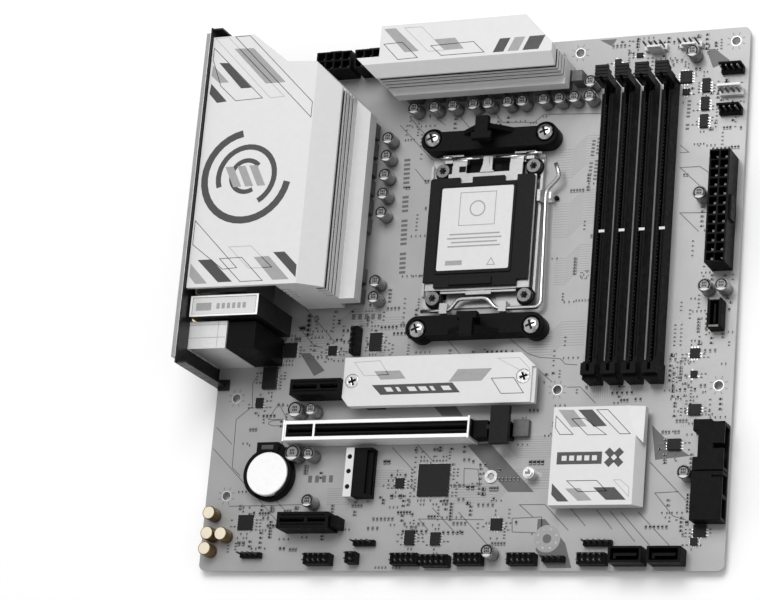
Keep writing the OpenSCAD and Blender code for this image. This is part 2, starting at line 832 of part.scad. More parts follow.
// card slot: body length, centre line y
module card_slot(y, len, end_cap) {
    card = 0.9;
    x1 = slot_x0 + len;
    difference() {
        union() {
            span([slot_x0, y - slot_w / 2, 0], [x1, y + slot_w / 2, slot_top]);
            span([x1, y - 2.6, 0], [x1 + end_cap, y + 2.6, slot_top - 3]);
        }
        span([slot_x0 + 1.4, y - card, 3], [slot_x0 + 13.2, y + card, 20]);
        span([slot_x0 + 15, y - card, 3], [x1 - 1.4, y + card, 20]);
        for (s = [-1, 1])
            span([slot_x0 + 2, y + s * 2.1 - 0.3, slot_top - 0.5], [x1 - 2, y + s * 2.1 + 0.3, 20]);
    }
}

module pcie_x1_slots() {
    color(c_black) place() {
        card_slot(slot_y0, 25, 3);
        card_slot(slot_y0 + 3 * slot_pitch, 24.8, 0);
    }
}

x16_len = 89;
x16_y = slot_y0 + 2 * slot_pitch;
module pcie_x16_slot() {
    x1 = slot_x0 + x16_len;
    color(c_black) place() {
        card_slot(x16_y, x16_len, 0);
        // housing that carries the latch
        difference() {
            union() {
                span([x1, x16_y - 3.7, 0], [x1 + 6.6, x16_y + 3.7, 8.6]);
                span([x1 + 6, x16_y - 3.7, 0], [x1 + 16, x16_y + 3.7, 6.2]);
            }
            span([x1 + 6.6, x16_y - 2.8, 1], [x1 + 17, x16_y + 2.8, 20]);
            translate([x1 + 11.2, x16_y - 5, 3.6]) rotate([-90, 0, 0])
                cylinder(h = 10, r = 1.08);
        }
    }
}

// steel sleeve around the long slot
module pcie_x16_armor() {
    t = 0.7;
    out = slot_w / 2 + gap + t;
    tab = 0.5;
    x0 = slot_x0 - 0.9;
    x1 = slot_x0 + x16_len - 0.6;
    low = 0.4;
    rim = slot_top + gap;
    top = slot_top + 0.5;
    cap_top = slot_top + 1;
    key_x = slot_x0 + 13.6;
    color(c_steel) place() {
        for (s = [-1, 1])
            span([slot_x0 - 0.4, x16_y + s * (out - t / 2) - t / 2, low],
                [x1, x16_y + s * (out - t / 2) + t / 2, top]);
        // rim folded over the top, open above the card groove
        difference() {
            span([x0, x16_y - out, rim], [x1, x16_y + out, top]);
            span([slot_x0 + 0.5, x16_y - 2.9, slot_top - 1], [x1 - 1, x16_y + 2.9, slot_top + 2]);
        }
        // bridge across the key, and a raised cap over each end
        span([key_x, x16_y - out, rim], [key_x + 1, x16_y + out, top]);
        span([x0, x16_y - out - tab, low], [slot_x0 - gap, x16_y + out + tab, cap_top]);
        span([x1 - 0.8, x16_y - out - tab, rim], [x1, x16_y + out + tab, cap_top]);
        for (s = [-1, 1])
            span([x1 - 0.8, x16_y + s * (out + tab / 2) - tab / 2, low],
                [x1, x16_y + s * (out + tab / 2) + tab / 2, cap_top]);
    }
}

// swinging latch at the front end of the long slot
module pcie_x16_latch() {
    x = slot_x0 + x16_len + 11.2;
    color(c_dark) place() {
        translate([x, x16_y - 2.6, 3.6]) rotate([-90, 0, 0]) cylinder(h = 5.2, r = 2.1);
        translate([x, x16_y - 3.5, 3.6]) rotate([-90, 0, 0]) cylinder(h = 7, r = 1);
        span([x - 1.6, x16_y - 2.6, 3.6], [x + 2.6, x16_y + 2.6, 9.2]);
        // pad that a finger presses
        span([x - 2.4, x16_y - 7.6, 9.2], [x + 6.2, x16_y + 9.4, 12]);
        span([x - 4.4, x16_y - 1, 9.2], [x - 2.4, x16_y + 1, 11]);
    }
}

// ---------------------------------------------------------------- front edge connectors

module usb_c_header() {
    x0 = 232.6;
    y0 = 103.8;
    color(c_black) place() difference() {
        round_plate([x0, y0, 0], [x0 + 6.4, y0 + 13.4, 6.4], 0.8);
        span([x0 + 1.4, y0 + 1.6, 1.4], [x0 + 5, y0 + 11.8, 8]);
    }
}

module usb_c_header_shell() {
    x0 = 232.6;
    y0 = 103.8;
    color(c_steel) place() {
        for (y = [y0 + 0.2, y0 + 12.3]) span([x0 + 1, y, 6.4], [x0 + 5.4, y + 0.9, 6.9]);
        span([x0 + 2.9, y0 + 2.6, 1.4], [x0 + 3.5, y0 + 10.8, 5.2]);
    }
}

front_top = 8.2;
// right angle header for the case's front sockets, opening towards +x
module front_usb_header() {
    x0 = 229.8;
    y0 = 41.2;
    y1 = 63.2;
    color(c_black) place() difference() {
        union() {
            span([x0 + 2.4, y0, 0], [243.6, y1 - 1, front_top]);
            span([x0, y1 - 5, 0], [x0 + 8, y1, front_top]);
            span([x0, y0, 0], [x0 + 2.4, y0 + 6, front_top - 1]);
        }
        span([x0 + 6, y0 + 1.6, 1.4], [244, y1 - 2.8, front_top - 1.4]);
        // keying notch in the roof
        span([x0 + 9, y0 + 9.4, front_top - 2], [244, y0 + 11.4, front_top + 1]);
    }
}

module sata_side() {
    x0 = 230;
    y0 = 19.8;
    color(c_black) place() difference() {
        span([x0, y0, 0], [243.6, 40.8, front_top]);
        for (y = [y0 + 1.4, y0 + 11.4]) span([x0 + 5.4, y, 1.4], [244, y + 8.2, 6.8]);
        span([x0 + 9, y0 + 18.2, front_top - 0.8], [244, y0 + 19, front_top + 1]);
    }
}

// contact blades inside the data sockets
module sata_tongues() {
    color(c_dark) place() {
        for (y = [21.2, 31.2]) {
            span([235.4, y + 1.2, 3.4], [242.4, y + 7.2, 4.6]);
            span([235.4, y + 1.2, 2.2], [242.4, y + 2.3, 3.4]);
        }
        for (x = [195.6, 212.6]) {
            span([x + 2.2, 4.8, 2], [x + 12.4, 6, 7.6]);
            span([x + 2.2, 3.6, 2], [x + 3.4, 4.8, 7.6]);
        }
    }
}

// upright data sockets on the slot edge
module sata_upright() {
    color(c_black) place()
        for (x = [195.6, 212.6]) difference() {
            span([x, 1.8, 0], [x + 14.8, 8.9, 8.6]);
            span([x + 1.2, 2.9, 2], [x + 13.6, 7.8, 10]);
        }
}

// ---------------------------------------------------------------- pin headers

pin_pitch = 2.54;
pin_w = 0.64;

module header_base(x, y, cols, rows) {
    span([x, y, 0], [x + cols * pin_pitch, y + rows * pin_pitch, 2.5]);
}

// plain two row headers: x, y, columns, rows
two_row = [[95, 1.9, 5, 2], [109.2, 1.2, 5, 2], [124.6, 1.9, 5, 2], [149, 1.9, 5, 2],
    [180.6, 1.9, 5, 2], [53.4, 2, 5, 2], [73.4, 2.6, 2, 2]];
one_row = [[164, 3.6, 4, 1], [182.2, 10.4, 5, 1], [75.6, 10.8, 4, 1], [21, 5.4, 4, 1]];
fan_x = [196.4, 212.4];
fan_y = 235.2;
argb_y = [221.6, 211.2, 202.3];
argb_x = 232;
side_header = [66.2, 98.4];

module pin_headers() {
    color(c_black) place() {
        for (h = two_row) span([h[0], h[1], 0], [h[0] + h[2] * pin_pitch, h[1] + 5.1, 5]);
        for (h = one_row) header_base(h[0], h[1], h[2], h[3]);
        // fan headers with a friction wall
        for (x = fan_x) {
            header_base(x, fan_y, 4, 1);
            span([x + 2.5, fan_y - 0.8, 0], [x + 8.6, fan_y, 8]);
        }
        // lighting headers
        for (y = argb_y) {
            header_base(argb_x, y, 4, 1);
            span([argb_x, y + pin_pitch, 0], [argb_x + 4 * pin_pitch, y + 3.5, 7.4]);
        }
        span([side_header[0], side_header[1], 0],
            [side_header[0] + 4, side_header[1] + 5 * pin_pitch, 5]);
    }
}

module header_pins() {
    color(c_gold) place() {
        for (h = two_row, i = [0:9]) if (i < h[2] * 2) {
            px = h[0] + (floor(i / 2) + 0.5) * pin_pitch - pin_w / 2;
            py = h[1] + (i % 2 + 0.5) * pin_pitch - pin_w / 2;
            span([px, py, 5], [px + pin_w, py + pin_w, 8.4]);
        }
        for (h = one_row, i = [0:4]) if (i < h[2]) {
            px = h[0] + (i + 0.5) * pin_pitch - pin_w / 2;
            py = h[1] + 0.5 * pin_pitch - pin_w / 2;
            span([px, py, 2.5], [px + pin_w, py + pin_w, 8.4]);
        }
        for (x = fan_x, i = [0:3]) {
            px = x + (i + 0.5) * pin_pitch - pin_w / 2;
            span([px, fan_y + 0.95, 2.5], [px + pin_w, fan_y + 1.59, 10]);
        }
        for (y = argb_y, i = [0:3]) {
            px = argb_x + (i + 0.5) * pin_pitch - pin_w / 2;
            span([px, y + 0.95, 2.5], [px + pin_w, y + 1.59, 8.4]);
        }
        for (i = [0:4]) {
            py = side_header[1] + (i + 0.5) * pin_pitch - pin_w / 2;
            span([side_header[0] + 1.7, py, 5], [side_header[0] + 2.34, py + pin_w, 8.4]);
        }
    }
}

// ---------------------------------------------------------------- coin cell

cell_x = 32;
cell_y = 43;
cell_r = 10;

module battery_holder() {
    color(c_black) place() difference() {
        union() {
            post(cell_x, cell_y, 0, 5.6, cell_r + 1.7);
            // terminal box
            span([cell_x - 6, cell_y + 9, 0], [cell_x + 4.6, cell_y + 14.4, 6.2]);
            span([cell_x + 4.6, cell_y + 8, 0], [cell_x + 8.4, cell_y + 12.4, 4.6]);
        }
        post(cell_x, cell_y, 2.2, 8, cell_r + 0.35);
        // finger relief
        span([cell_x - 5, cell_y - 13, 2.2], [cell_x + 5, cell_y - 8, 8]);
    }
}

module battery_clip() {
    color(c_steel) place() {
        span([cell_x - 3.4, cell_y + 11, 6.2], [cell_x + 2.4, cell_y + 13, 6.6]);
        post(cell_x, cell_y, 2.2, 2.5, 3);
    }
}

module coin_cell() {
    color(c_steel) place() {
        post(cell_x, cell_y, 2.5, 3.2, cell_r - 1.2);
        post(cell_x, cell_y, 3.2, 5.5, cell_r);
        translate([cell_x, cell_y, 5.5]) cylinder(h = 0.4, r1 = cell_r, r2 = cell_r - 0.4);
    }
}

// ---------------------------------------------------------------- rear panel

panel_low = -4;
panel_x0 = -1.2;
panel_x1 = -0.5;
panel_y0 = 85.3;
flange_x = -3.3;

audio_y = [94.4, 107.1];
wifi_y = [108.3, 118];
lan_y = [121.4, 138];
usb_y = [143, 157.6];
usb_low_y = [162.6, 177.2];
video_y = [184, 203.4];
flash_y = 212;
usb_z = [4, 12, 20, 28];

module port_cut(y, z) {
    span([-6, y[0] - 0.3, z[0]], [2, y[1] + 0.3, z[1]]);
}

module io_shield() {
    foot = 1;
    color(c_dark) place() difference() {
        union() {
            span([panel_x0, panel_y0, panel_low], [panel_x1, panel_end_y, panel_top]);
            // folded ends
            for (y = [panel_y0, panel_end_y - 0.8])
                span([panel_x1, y, 0.4], [4.2, y + 0.8, panel_top - 1]);
            // foot on the board
            span([0.4, panel_y0 - 1.6, 0], [6, panel_y0, foot]);
            span([0.4, panel_y0, 0], [6, panel_y0 + 3.4, foot]);
        }
        port_cut(audio_y, [-0.2, 32.4]);
        port_cut(wifi_y, [4.6, 31]);
        port_cut(lan_y, [-0.2, 30.4]);
        port_cut(usb_y, [-0.2, 34.6]);
        port_cut(usb_low_y, [-0.2, 24.4]);
        port_cut(video_y, [-0.2, 28]);
        port_cut([flash_y, flash_y + 6], [8, 14]);
        // air slots
        for (i = [0:9]) span([-3, 220 + i * 2.2, 8], [1, 221.2 + i * 2.2, 30]);
        for (i = [0:7]) span([-3, 208 + i * 1.6, 20], [1, 208.8 + i * 1.6, 30]);
    }
}

// bright lip around the panel that fills the case's cut-out
module io_shield_lip() {
    t = 0.8;
    y0 = panel_y0 + 2.6;
    y1 = panel_end_y - 2.6;
    z0 = panel_low + 0.9;
    z1 = panel_top;
    color(c_grey) place() {
        span([flange_x, y0, z1 - t], [panel_x0, y1, z1]);
        span([flange_x, y0, z0], [panel_x0, y1, z0 + t]);
        span([flange_x, y0, z0 + t], [panel_x0, y0 + t, z1 - t]);
        span([flange_x, y1 - t, z0 + t], [panel_x0, y1, z1 - t]);
    }
}

module audio_jacks() {
    color(c_steel) place() difference() {
        span([-2.6, audio_y[0], 0], [17.8, audio_y[1], 31.6]);
        for (z = [6, 16, 26])
            translate([-4, (audio_y[0] + audio_y[1]) / 2, z]) rotate([0, 90, 0])
                cylinder(h = 16, r = 3.6);
    }
}

// coloured collars inside the audio jacks
module audio_collars() {
    y = (audio_y[0] + audio_y[1]) / 2;
    color(c_black) place()
        for (z = [6, 16, 26]) difference() {
            translate([-3.2, y, z]) rotate([0, 90, 0]) cylinder(h = 15, r = 3.5);
            translate([-4, y, z]) rotate([0, 90, 0]) cylinder(h = 14, r = 1.8);
        }
}

module audio_back() {
    color(c_black) place()
        span([17.8, audio_y[0] + 0.2, 0], [31.6, audio_y[1] - 0.2, 30.6]);
}

module wifi_module() {
    color(c_steel) place() difference() {
        span([0.4, wifi_y[0], 0], [34.2, wifi_y[1], 35.6]);
        span([1.6, wifi_y[0] + 1, 33.9], [33, wifi_y[1] - 1, 37]);
    }
}

module wifi_label() {
    color(c_white) place()
        span([1.9, wifi_y[0] + 1.2, 33.9], [32.6, wifi_y[1] - 1.2, 35.9]);
}

module antenna_jacks() {
    y = (wifi_y[0] + wifi_y[1]) / 2;
    color(c_gold) place()
        for (z = [11, 25]) difference() {
            union() {
                translate([-jack_reach, y, z]) rotate([0, 90, 0]) cylinder(h = jack_reach + 0.4, r = 3.1);
                translate([-0.4, y, z]) rotate([0, 90, 0]) cylinder(h = 0.8, r = 4.4, $fn = 6);
            }
            translate([-jack_reach - 1, y, z]) rotate([0, 90, 0]) cylinder(h = 6, r = 2.2);
        }
}

// metal shell with socket openings at the rear: y span, top height, depth
module shell(y, top, depth) {
    span([-2.2, y[0], 0], [depth, y[1], top]);
}

usb_h = 5.6;
module usb_hole(y, z) {
    span([-4, y[0] + 0.8, z], [9, y[1] - 0.8, z + usb_h]);
}

module usb_tongue(y, z) {
    span([-1.4, y[0] + 1.8, z + usb_h - 2.1], [9, y[1] - 1.8, z + usb_h - 0.4]);
}

module network_usb_ports() {
    color(c_steel) place() difference() {
        shell(lan_y, 29.6, 24);
        usb_hole([lan_y[0] + 1, lan_y[1] - 1], usb_z[0] - 1);
        usb_hole([lan_y[0] + 1, lan_y[1] - 1], usb_z[1] - 2);
        span([-4, lan_y[0] + 2.3, 18.6], [12, lan_y[1] - 2.3, 26]);
        span([-4, lan_y[0] + 5, 17], [9, lan_y[1] - 5, 18.7]);
    }
}

module usb_ports() {
    color(c_steel) place() {
        difference() {
            shell(usb_y, 33.8, 18);
            for (z = usb_z) usb_hole(usb_y, z - 2);
        }
        difference() {
            shell(usb_low_y, 23.6, 18);
            for (z = [usb_z[0], usb_z[1]]) usb_hole(usb_low_y, z - 2);
            // small reversible socket above
            span([-4, usb_low_y[0] + 2.9, 18.6], [7, usb_low_y[1] - 2.9, 21.4]);
        }
    }
}

module usb_tongues() {
    color(c_dark) place() {
        usb_tongue([lan_y[0] + 1, lan_y[1] - 1], usb_z[0] - 1);
        usb_tongue([lan_y[0] + 1, lan_y[1] - 1], usb_z[1] - 2);
        for (z = usb_z) usb_tongue(usb_y, z - 2);
        for (z = [usb_z[0], usb_z[1]]) usb_tongue(usb_low_y, z - 2);
        span([-1, usb_low_y[0] + 3.9, 19.7], [7, usb_low_y[1] - 3.9, 20.3]);
    }
}

module video_ports() {
    y = video_y;
    color(c_steel) place() difference() {
        shell(y, 27, 20);
        span([-4, y[0] + 2, 17], [9, y[1] - 1.3, 22.6]);
        span([-4, y[0] + 2, 4.4], [9, y[1] - 2, 9.6]);
    }
}

module video_tongues() {
    y = video_y;
    color(c_black) place() {
        span([-0.8, y[0] + 3.6, 19.2], [9, y[1] - 3, 20.4]);
        span([-0.8, y[0] + 3.6, 6.6], [9, y[1] - 3.6, 7.6]);
    }
}

button_r = 1.9;
module flash_button_base() {
    color(c_black) place() difference() {
        span([0.2, flash_y - 0.4, 0], [8, flash_y + 6.4, 14.4]);
        translate([-1, flash_y + 3, 11]) rotate([0, 90, 0])
            cylinder(h = 6.4, r = button_r + bearing_clear);
    }
}

module flash_button() {
    color(c_white) place()
        translate([-2.2, flash_y + 3, 11]) rotate([0, 90, 0]) cylinder(h = 6.2, r = button_r);
}

// ---------------------------------------------------------------- small parts

// flat packages: x, y, width, depth, height
packages = [
    [103.6, 33, 14.6, 14.4, 1.4], [17.6, 18.4, 7.4, 6.9, 0.9], [23, 83.8, 7, 10.2, 1.8],
    [31.9, 98.6, 6.5, 6.7, 0.9], [54.2, 98.9, 4.1, 4.3, 0.9], [74.3, 100.4, 5.9, 8.2, 1.2],
    [20.4, 75.1, 3.7, 4.6, 1], [92.8, 36.8, 4.2, 4.5, 1], [99.4, 11.4, 4.6, 6.4, 1.3],
    [111.6, 11.2, 4.6, 5.6, 1.3], [139, 17.7, 5.4, 5.2, 0.9], [225, 67, 5.5, 4.8, 1.2],
    [216.7, 51.9, 5.8, 4.8, 1.6], [230, 14.4, 5.5, 5.1, 1.2], [223.3, 214.1, 3.6, 6.2, 1.5],
    [223.2, 205.6, 3.6, 6, 1.5], [223.1, 197.4, 3.6, 6, 1.5], [224.3, 92.4, 4.4, 4.2, 0.9],
    [225, 83.6, 3, 3, 0.9], [213, 219, 5.4, 5.6, 1.2], [214.4, 213.4, 3.2, 2.8, 1],
    [229, 10.8, 3, 3, 1.6], [182, 229.4, 3, 3.4, 1], [192, 233, 3, 2, 1]];

module ic_packages() {
    color(c_dark) place()
        for (p = packages) {
            span([p[0], p[1], 0.1], [p[0] + p[2], p[1] + p[3], p[4]]);
            // standoff under the package
            span([p[0] + 0.4, p[1] + 0.4, 0], [p[0] + p[2] - 0.4, p[1] + p[3] - 0.4, 0.1]);
        }
}

// chip parts in rows beside the packages: x, y, count, step x, step y
chip_rows = [
    [82, 103, 4, 2, 0], [20, 61, 4, 0, 2.6], [27, 28, 5, 2.2, 0], [14, 30, 4, 2, 0],
    [84, 44, 5, 0, 2.4], [120.8, 34, 5, 0, 2.6], [104, 30, 6, 2.2, 0], [134, 25, 5, 2.2, 0],
    [147, 17, 4, 0, 2.2], [220, 84, 5, 0, 2.6], [226, 98, 5, 2, 0], [228, 190, 4, 2.2, 0],
    [205, 74, 4, 2.2, 0], [196, 75, 4, 2, 0], [36, 92, 4, 2, 0], [60, 92, 4, 0, 2.2],
    [58, 48, 4, 2, 0], [160, 100, 5, 2.4, 0], [82, 140, 6, 0, 2.4], [85, 205, 5, 2.2, 0]];

module chip_parts() {
    color(c_grey) place()
        for (c = chip_rows, i = [0:c[2] - 1])
            span([c[0] + i * c[3], c[1] + i * c[4], 0],
                [c[0] + i * c[3] + 1.1, c[1] + i * c[4] + 1.4, 0.55]);
}

// solder ends of the through-board connectors on the underside
module solder_points() {
    r = 0.55;
    tip = -board_thick - 1.3;
    color(c_steel) place() {
        for (i = [0:1], j = [0:11])
            post(atx_x + 2.5 + i * cell_pitch, atx_y + 2.5 + j * cell_pitch, tip, -board_thick, r);
        for (x = eps_x, i = [0:3], j = [0:1])
            post(x + 2.5 + i * cell_pitch, eps_y + 2.5 + j * cell_pitch, tip, -board_thick, r);
        for (n = [0, 2], i = [0:11])
            post(slot_x0 + 3 + i * 2, slot_y0 + n * slot_pitch, tip, -board_thick, r);
        for (i = [0:17])
            post(slot_x0 + 27 + i * 3.4, x16_y, tip, -board_thick, r);
        for (y = [audio_y, lan_y, usb_y, usb_low_y, video_y], i = [0:3])
            post(4 + i * 4, (y[0] + y[1]) / 2, tip, -board_thick, r);
    }
}

// ---------------------------------------------------------------- grouped pieces

module contact_pins() {
    power_pins_all();
    header_pins();
    battery_clip();
    usb_c_header_shell();
}

module chip_packages() {
    power_stages();
    ic_packages();
}

module port_tongues() {
    sata_tongues();
    audio_collars();
    usb_tongues();
    video_tongues();
}

// ---------------------------------------------------------------- output

pcb();
vrm_heatsink_left();
vrm_heatsink_top();
thermal_pads();
chokes();
m2_heatsink();
m2_screws();
m2_standoffs();
m2_connectors();
m2_connector_strip();
chipset_heatsink();
chipset();
heatsink_screws();
vrm_capacitors();
board_capacitors();
audio_capacitors();
cpu_socket();
socket_frame();
socket_screws();
load_plate();
socket_cap();
cap_label();
load_lever();
cooler_brackets();
cooler_screws();
cooler_backplate();
dimm_slots();
dimm_latch_1();
dimm_latch_2();
dimm_latch_3();
dimm_latch_4();
atx_power_24pin();
cpu_power_8pin();
pcie_x1_slots();
pcie_x16_slot();
pcie_x16_armor();
pcie_x16_latch();
usb_c_header();
front_usb_header();
sata_side();
sata_upright();
pin_headers();
contact_pins();
battery_holder();
coin_cell();
io_shield();
io_shield_lip();
audio_jacks();
audio_back();
wifi_module();
antenna_jacks();
network_usb_ports();
usb_ports();
video_ports();
port_tongues();
flash_button_base();
flash_button();
chip_packages();
chip_parts();
solder_points();
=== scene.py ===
import bpy
import bmesh
import math
import random
from mathutils import Matrix, Vector


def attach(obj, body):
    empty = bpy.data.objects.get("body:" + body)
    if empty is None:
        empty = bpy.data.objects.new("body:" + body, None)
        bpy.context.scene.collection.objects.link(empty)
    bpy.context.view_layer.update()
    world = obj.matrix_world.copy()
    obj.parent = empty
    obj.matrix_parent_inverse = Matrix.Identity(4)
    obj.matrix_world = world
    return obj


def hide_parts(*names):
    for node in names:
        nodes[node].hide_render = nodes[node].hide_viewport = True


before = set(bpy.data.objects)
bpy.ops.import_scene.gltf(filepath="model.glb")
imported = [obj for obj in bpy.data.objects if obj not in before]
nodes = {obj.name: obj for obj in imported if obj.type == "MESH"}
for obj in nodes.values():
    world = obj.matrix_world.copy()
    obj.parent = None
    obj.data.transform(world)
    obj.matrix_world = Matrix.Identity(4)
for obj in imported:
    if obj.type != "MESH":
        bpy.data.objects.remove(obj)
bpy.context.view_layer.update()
rng = random.Random(11)

# Board coordinates are millimetres: x from the rear edge, y from the slot edge, z above the board.
ORIGIN = (117.72, 123.1, -4.2)


def at(x, y, z):
    return Vector(((x - ORIGIN[0]) / 1000, (y - ORIGIN[1]) / 1000, (z - ORIGIN[2]) / 1000))


# ------------------------------------------------------------------ materials

def tone(v):
    return (v, v, v, 1)


# Colour sockets of a Mix node, and the span most noise values fall in.
MIX_FACTOR, MIX_A, MIX_B, MIX_RESULT = 0, 6, 7, 2
NOISE_LOW, NOISE_HIGH = 0.3, 0.7
BUMP_DEPTH = 0.0001


def material(name, colour, rough, metal, spread, grain, rough_spread, bump, bump_grain,
             specular=0.5):
    """Node material with its own variation in colour, roughness and surface height."""
    mat = bpy.data.materials.new(name)
    mat.use_nodes = True
    nt = mat.node_tree
    nt.nodes.clear()
    out = nt.nodes.new("ShaderNodeOutputMaterial")
    bsdf = nt.nodes.new("ShaderNodeBsdfPrincipled")
    nt.links.new(bsdf.outputs[0], out.inputs[0])
    bsdf.inputs["Metallic"].default_value = metal
    bsdf.inputs["Specular IOR Level"].default_value = specular
    coord = nt.nodes.new("ShaderNodeTexCoord")

    def noise(scale, detail):
        n = nt.nodes.new("ShaderNodeTexNoise")
        n.inputs["Scale"].default_value = scale
        n.inputs["Detail"].default_value = detail
        nt.links.new(coord.outputs["Object"], n.inputs["Vector"])
        return n.outputs["Fac"]

    def remap(socket, low, high):
        m = nt.nodes.new("ShaderNodeMapRange")
        m.inputs["From Min"].default_value = NOISE_LOW
        m.inputs["From Max"].default_value = NOISE_HIGH
        m.inputs["To Min"].default_value = low
        m.inputs["To Max"].default_value = high
        nt.links.new(socket, m.inputs["Value"])
        return m.outputs[0]

    mix = nt.nodes.new("ShaderNodeMix")
    mix.data_type = "RGBA"
    mix.inputs[MIX_A].default_value = tuple(c * (1 - spread) for c in colour[:3]) + (1,)
    mix.inputs[MIX_B].default_value = tuple(min(1, c * (1 + spread)) for c in colour[:3]) + (1,)
    nt.links.new(remap(noise(grain, 3), 0, 1), mix.inputs[MIX_FACTOR])
    nt.links.new(mix.outputs[MIX_RESULT], bsdf.inputs["Base Color"])
    nt.links.new(remap(noise(grain * 0.6, 2), rough - rough_spread / 2, rough + rough_spread / 2),
                 bsdf.inputs["Roughness"])
    height = nt.nodes.new("ShaderNodeBump")
    height.inputs["Strength"].default_value = bump
    height.inputs["Distance"].default_value = BUMP_DEPTH
    nt.links.new(noise(bump_grain, 2), height.inputs["Height"])
    nt.links.new(height.outputs[0], bsdf.inputs["Normal"])
    return mat


# Colour, roughness, metallic, colour spread, grain, roughness spread, bump, bump grain.
M = {
    "board": material("solder_mask", tone(0.33), 0.36, 0.2, 0.05, 60, 0.08, 0.06, 900),
    "white": material("white_coat", tone(0.64), 0.42, 0.0, 0.015, 300, 0.08, 0.10, 4000,
                      specular=0.35),
    "pad": material("thermal_pad", tone(0.42), 0.7, 0.0, 0.08, 300, 0.1, 0.2, 800),
    "choke": material("ferrite", tone(0.12), 0.6, 0.2, 0.12, 900, 0.2, 0.3, 3000),
    "chip": material("moulded_chip", tone(0.010), 0.45, 0.0, 0.2, 1200, 0.12, 0.15, 5000,
                     specular=0.15),
    "steel": material("sheet_steel", tone(0.36), 0.34, 0.85, 0.05, 700, 0.06, 0.004, 6000),
    "wire": material("plated_wire", tone(0.62), 0.2, 1.0, 0.04, 900, 0.05, 0.003, 6000),
    "bright_steel": material("polished_steel", tone(0.88), 0.4, 0.25, 0.02, 500, 0.1, 0.015, 6000),
    "jack_block": material("jack_shell", tone(0.66), 0.42, 0.2, 0.03, 500, 0.1, 0.015, 6000),
    "screw": material("screw_steel", tone(0.72), 0.22, 1.0, 0.06, 900, 0.1, 0.01, 9000),
    "pan_head": material("pan_head_steel", tone(0.5), 0.16, 1.0, 0.05, 900, 0.05, 0.01, 9000),
    "torx": material("torx_steel", tone(0.16), 0.3, 0.9, 0.1, 900, 0.15, 0.01, 9000),
    "dark_steel": material("black_steel", tone(0.016), 0.4, 0.3, 0.15, 500, 0.15, 0.1, 2000,
                           specular=0.3),
    "can": material("drawn_can", tone(0.30), 0.3, 0.9, 0.08, 800, 0.1, 0.015, 6000),
    "can_top": material("can_top", tone(0.2), 0.4, 0.3, 0.05, 900, 0.1, 0.05, 2500),
    "gold_can": material("gold_sleeve", (0.17, 0.105, 0.04, 1), 0.35, 0.7, 0.1, 700, 0.1, 0.05,
                         2500),
    "gold_top": material("gold_top", (0.80, 0.72, 0.58, 1), 0.35, 0.4, 0.05, 700, 0.1, 0.05, 2500),
    "plastic": material("black_nylon", tone(0.004), 0.5, 0.0, 0.25, 900, 0.15, 0.2, 3500,
                        specular=0.07),
    "cap_black": material("cap_plastic", tone(0.005), 0.45, 0.0, 0.2, 700, 0.12, 0.2, 4500,
                          specular=0.12),
    # paper label, also used for the painted highlights on the memory slots' key bars
    "label": material("paper_label_and_painted_glint", tone(0.62), 0.55, 0.0, 0.02, 600, 0.1, 0.08, 3000),
    "latch": material("latch_nylon", tone(0.008), 0.42, 0.0, 0.2, 900, 0.15, 0.2, 3500,
                      specular=0.12),
    "contact": material("contact_pin", (0.09, 0.086, 0.078, 1), 0.38, 1.0, 0.08, 900, 0.1, 0.04,
                        2000),
    "gold": material("gold_jack", (0.65, 0.46, 0.18, 1), 0.25, 1.0, 0.08, 900, 0.1, 0.04, 2000),
    "button": material("button_plastic", tone(0.7), 0.4, 0.0, 0.04, 700, 0.1, 0.1, 3000),
    "ceramic": material("ceramic_chip", (0.05, 0.045, 0.04, 1), 0.5, 0.0, 0.3, 2000, 0.2, 0.1,
                        3000),
    "solder": material("tin", tone(0.55), 0.28, 1.0, 0.1, 1500, 0.2, 0.1, 3000),
    # dark ink, also used for the painted shade inside the fin grooves
    "print_and_shade_dark": material("ink_and_painted_shade", tone(0.042), 0.5, 0.0, 0.08, 500, 0.1, 0.05, 3000),
    "print_mid": material("ink_mid", tone(0.30), 0.5, 0.0, 0.05, 500, 0.1, 0.05, 3000),
    "print_line": material("ink_line", tone(0.10), 0.5, 0.0, 0.05, 500, 0.1, 0.05, 3000),
    "print_pale": material("ink_pale", tone(0.40), 0.5, 0.0, 0.04, 500, 0.1, 0.05, 3000),
    "tin_end": material("tinned_end", tone(0.22), 0.4, 0.7, 0.1, 1500, 0.2, 0.05, 3000),
    "ring": material("plated_ring", tone(0.62), 0.38, 0.8, 0.05, 900, 0.1, 0.05, 2000),
    # dark stripe ink, also used for one painted shadow on the board
    "stripe_and_painted_shadow": material("mask_stripe_and_painted_shadow", tone(0.09), 0.42, 0.1, 0.06, 200, 0.1, 0.05, 1500),
    "trace": material("mask_trace", tone(0.23), 0.34, 0.35, 0.05, 200, 0.1, 0.05, 1500),
    # black, also used for painted shade: screw recesses, openings, groove mouths, holes and rings
    # round the socket screws
    "black_and_painted_shade": material("painted_shade_and_black", tone(0.008), 0.6, 0.0, 0.1, 900, 0.1, 0.05, 2500,
                     specular=0.05),
    "floor": material("studio_floor", tone(0.93), 0.8, 0.0, 0.01, 4, 0.05, 0.02, 60, specular=0.1),
}

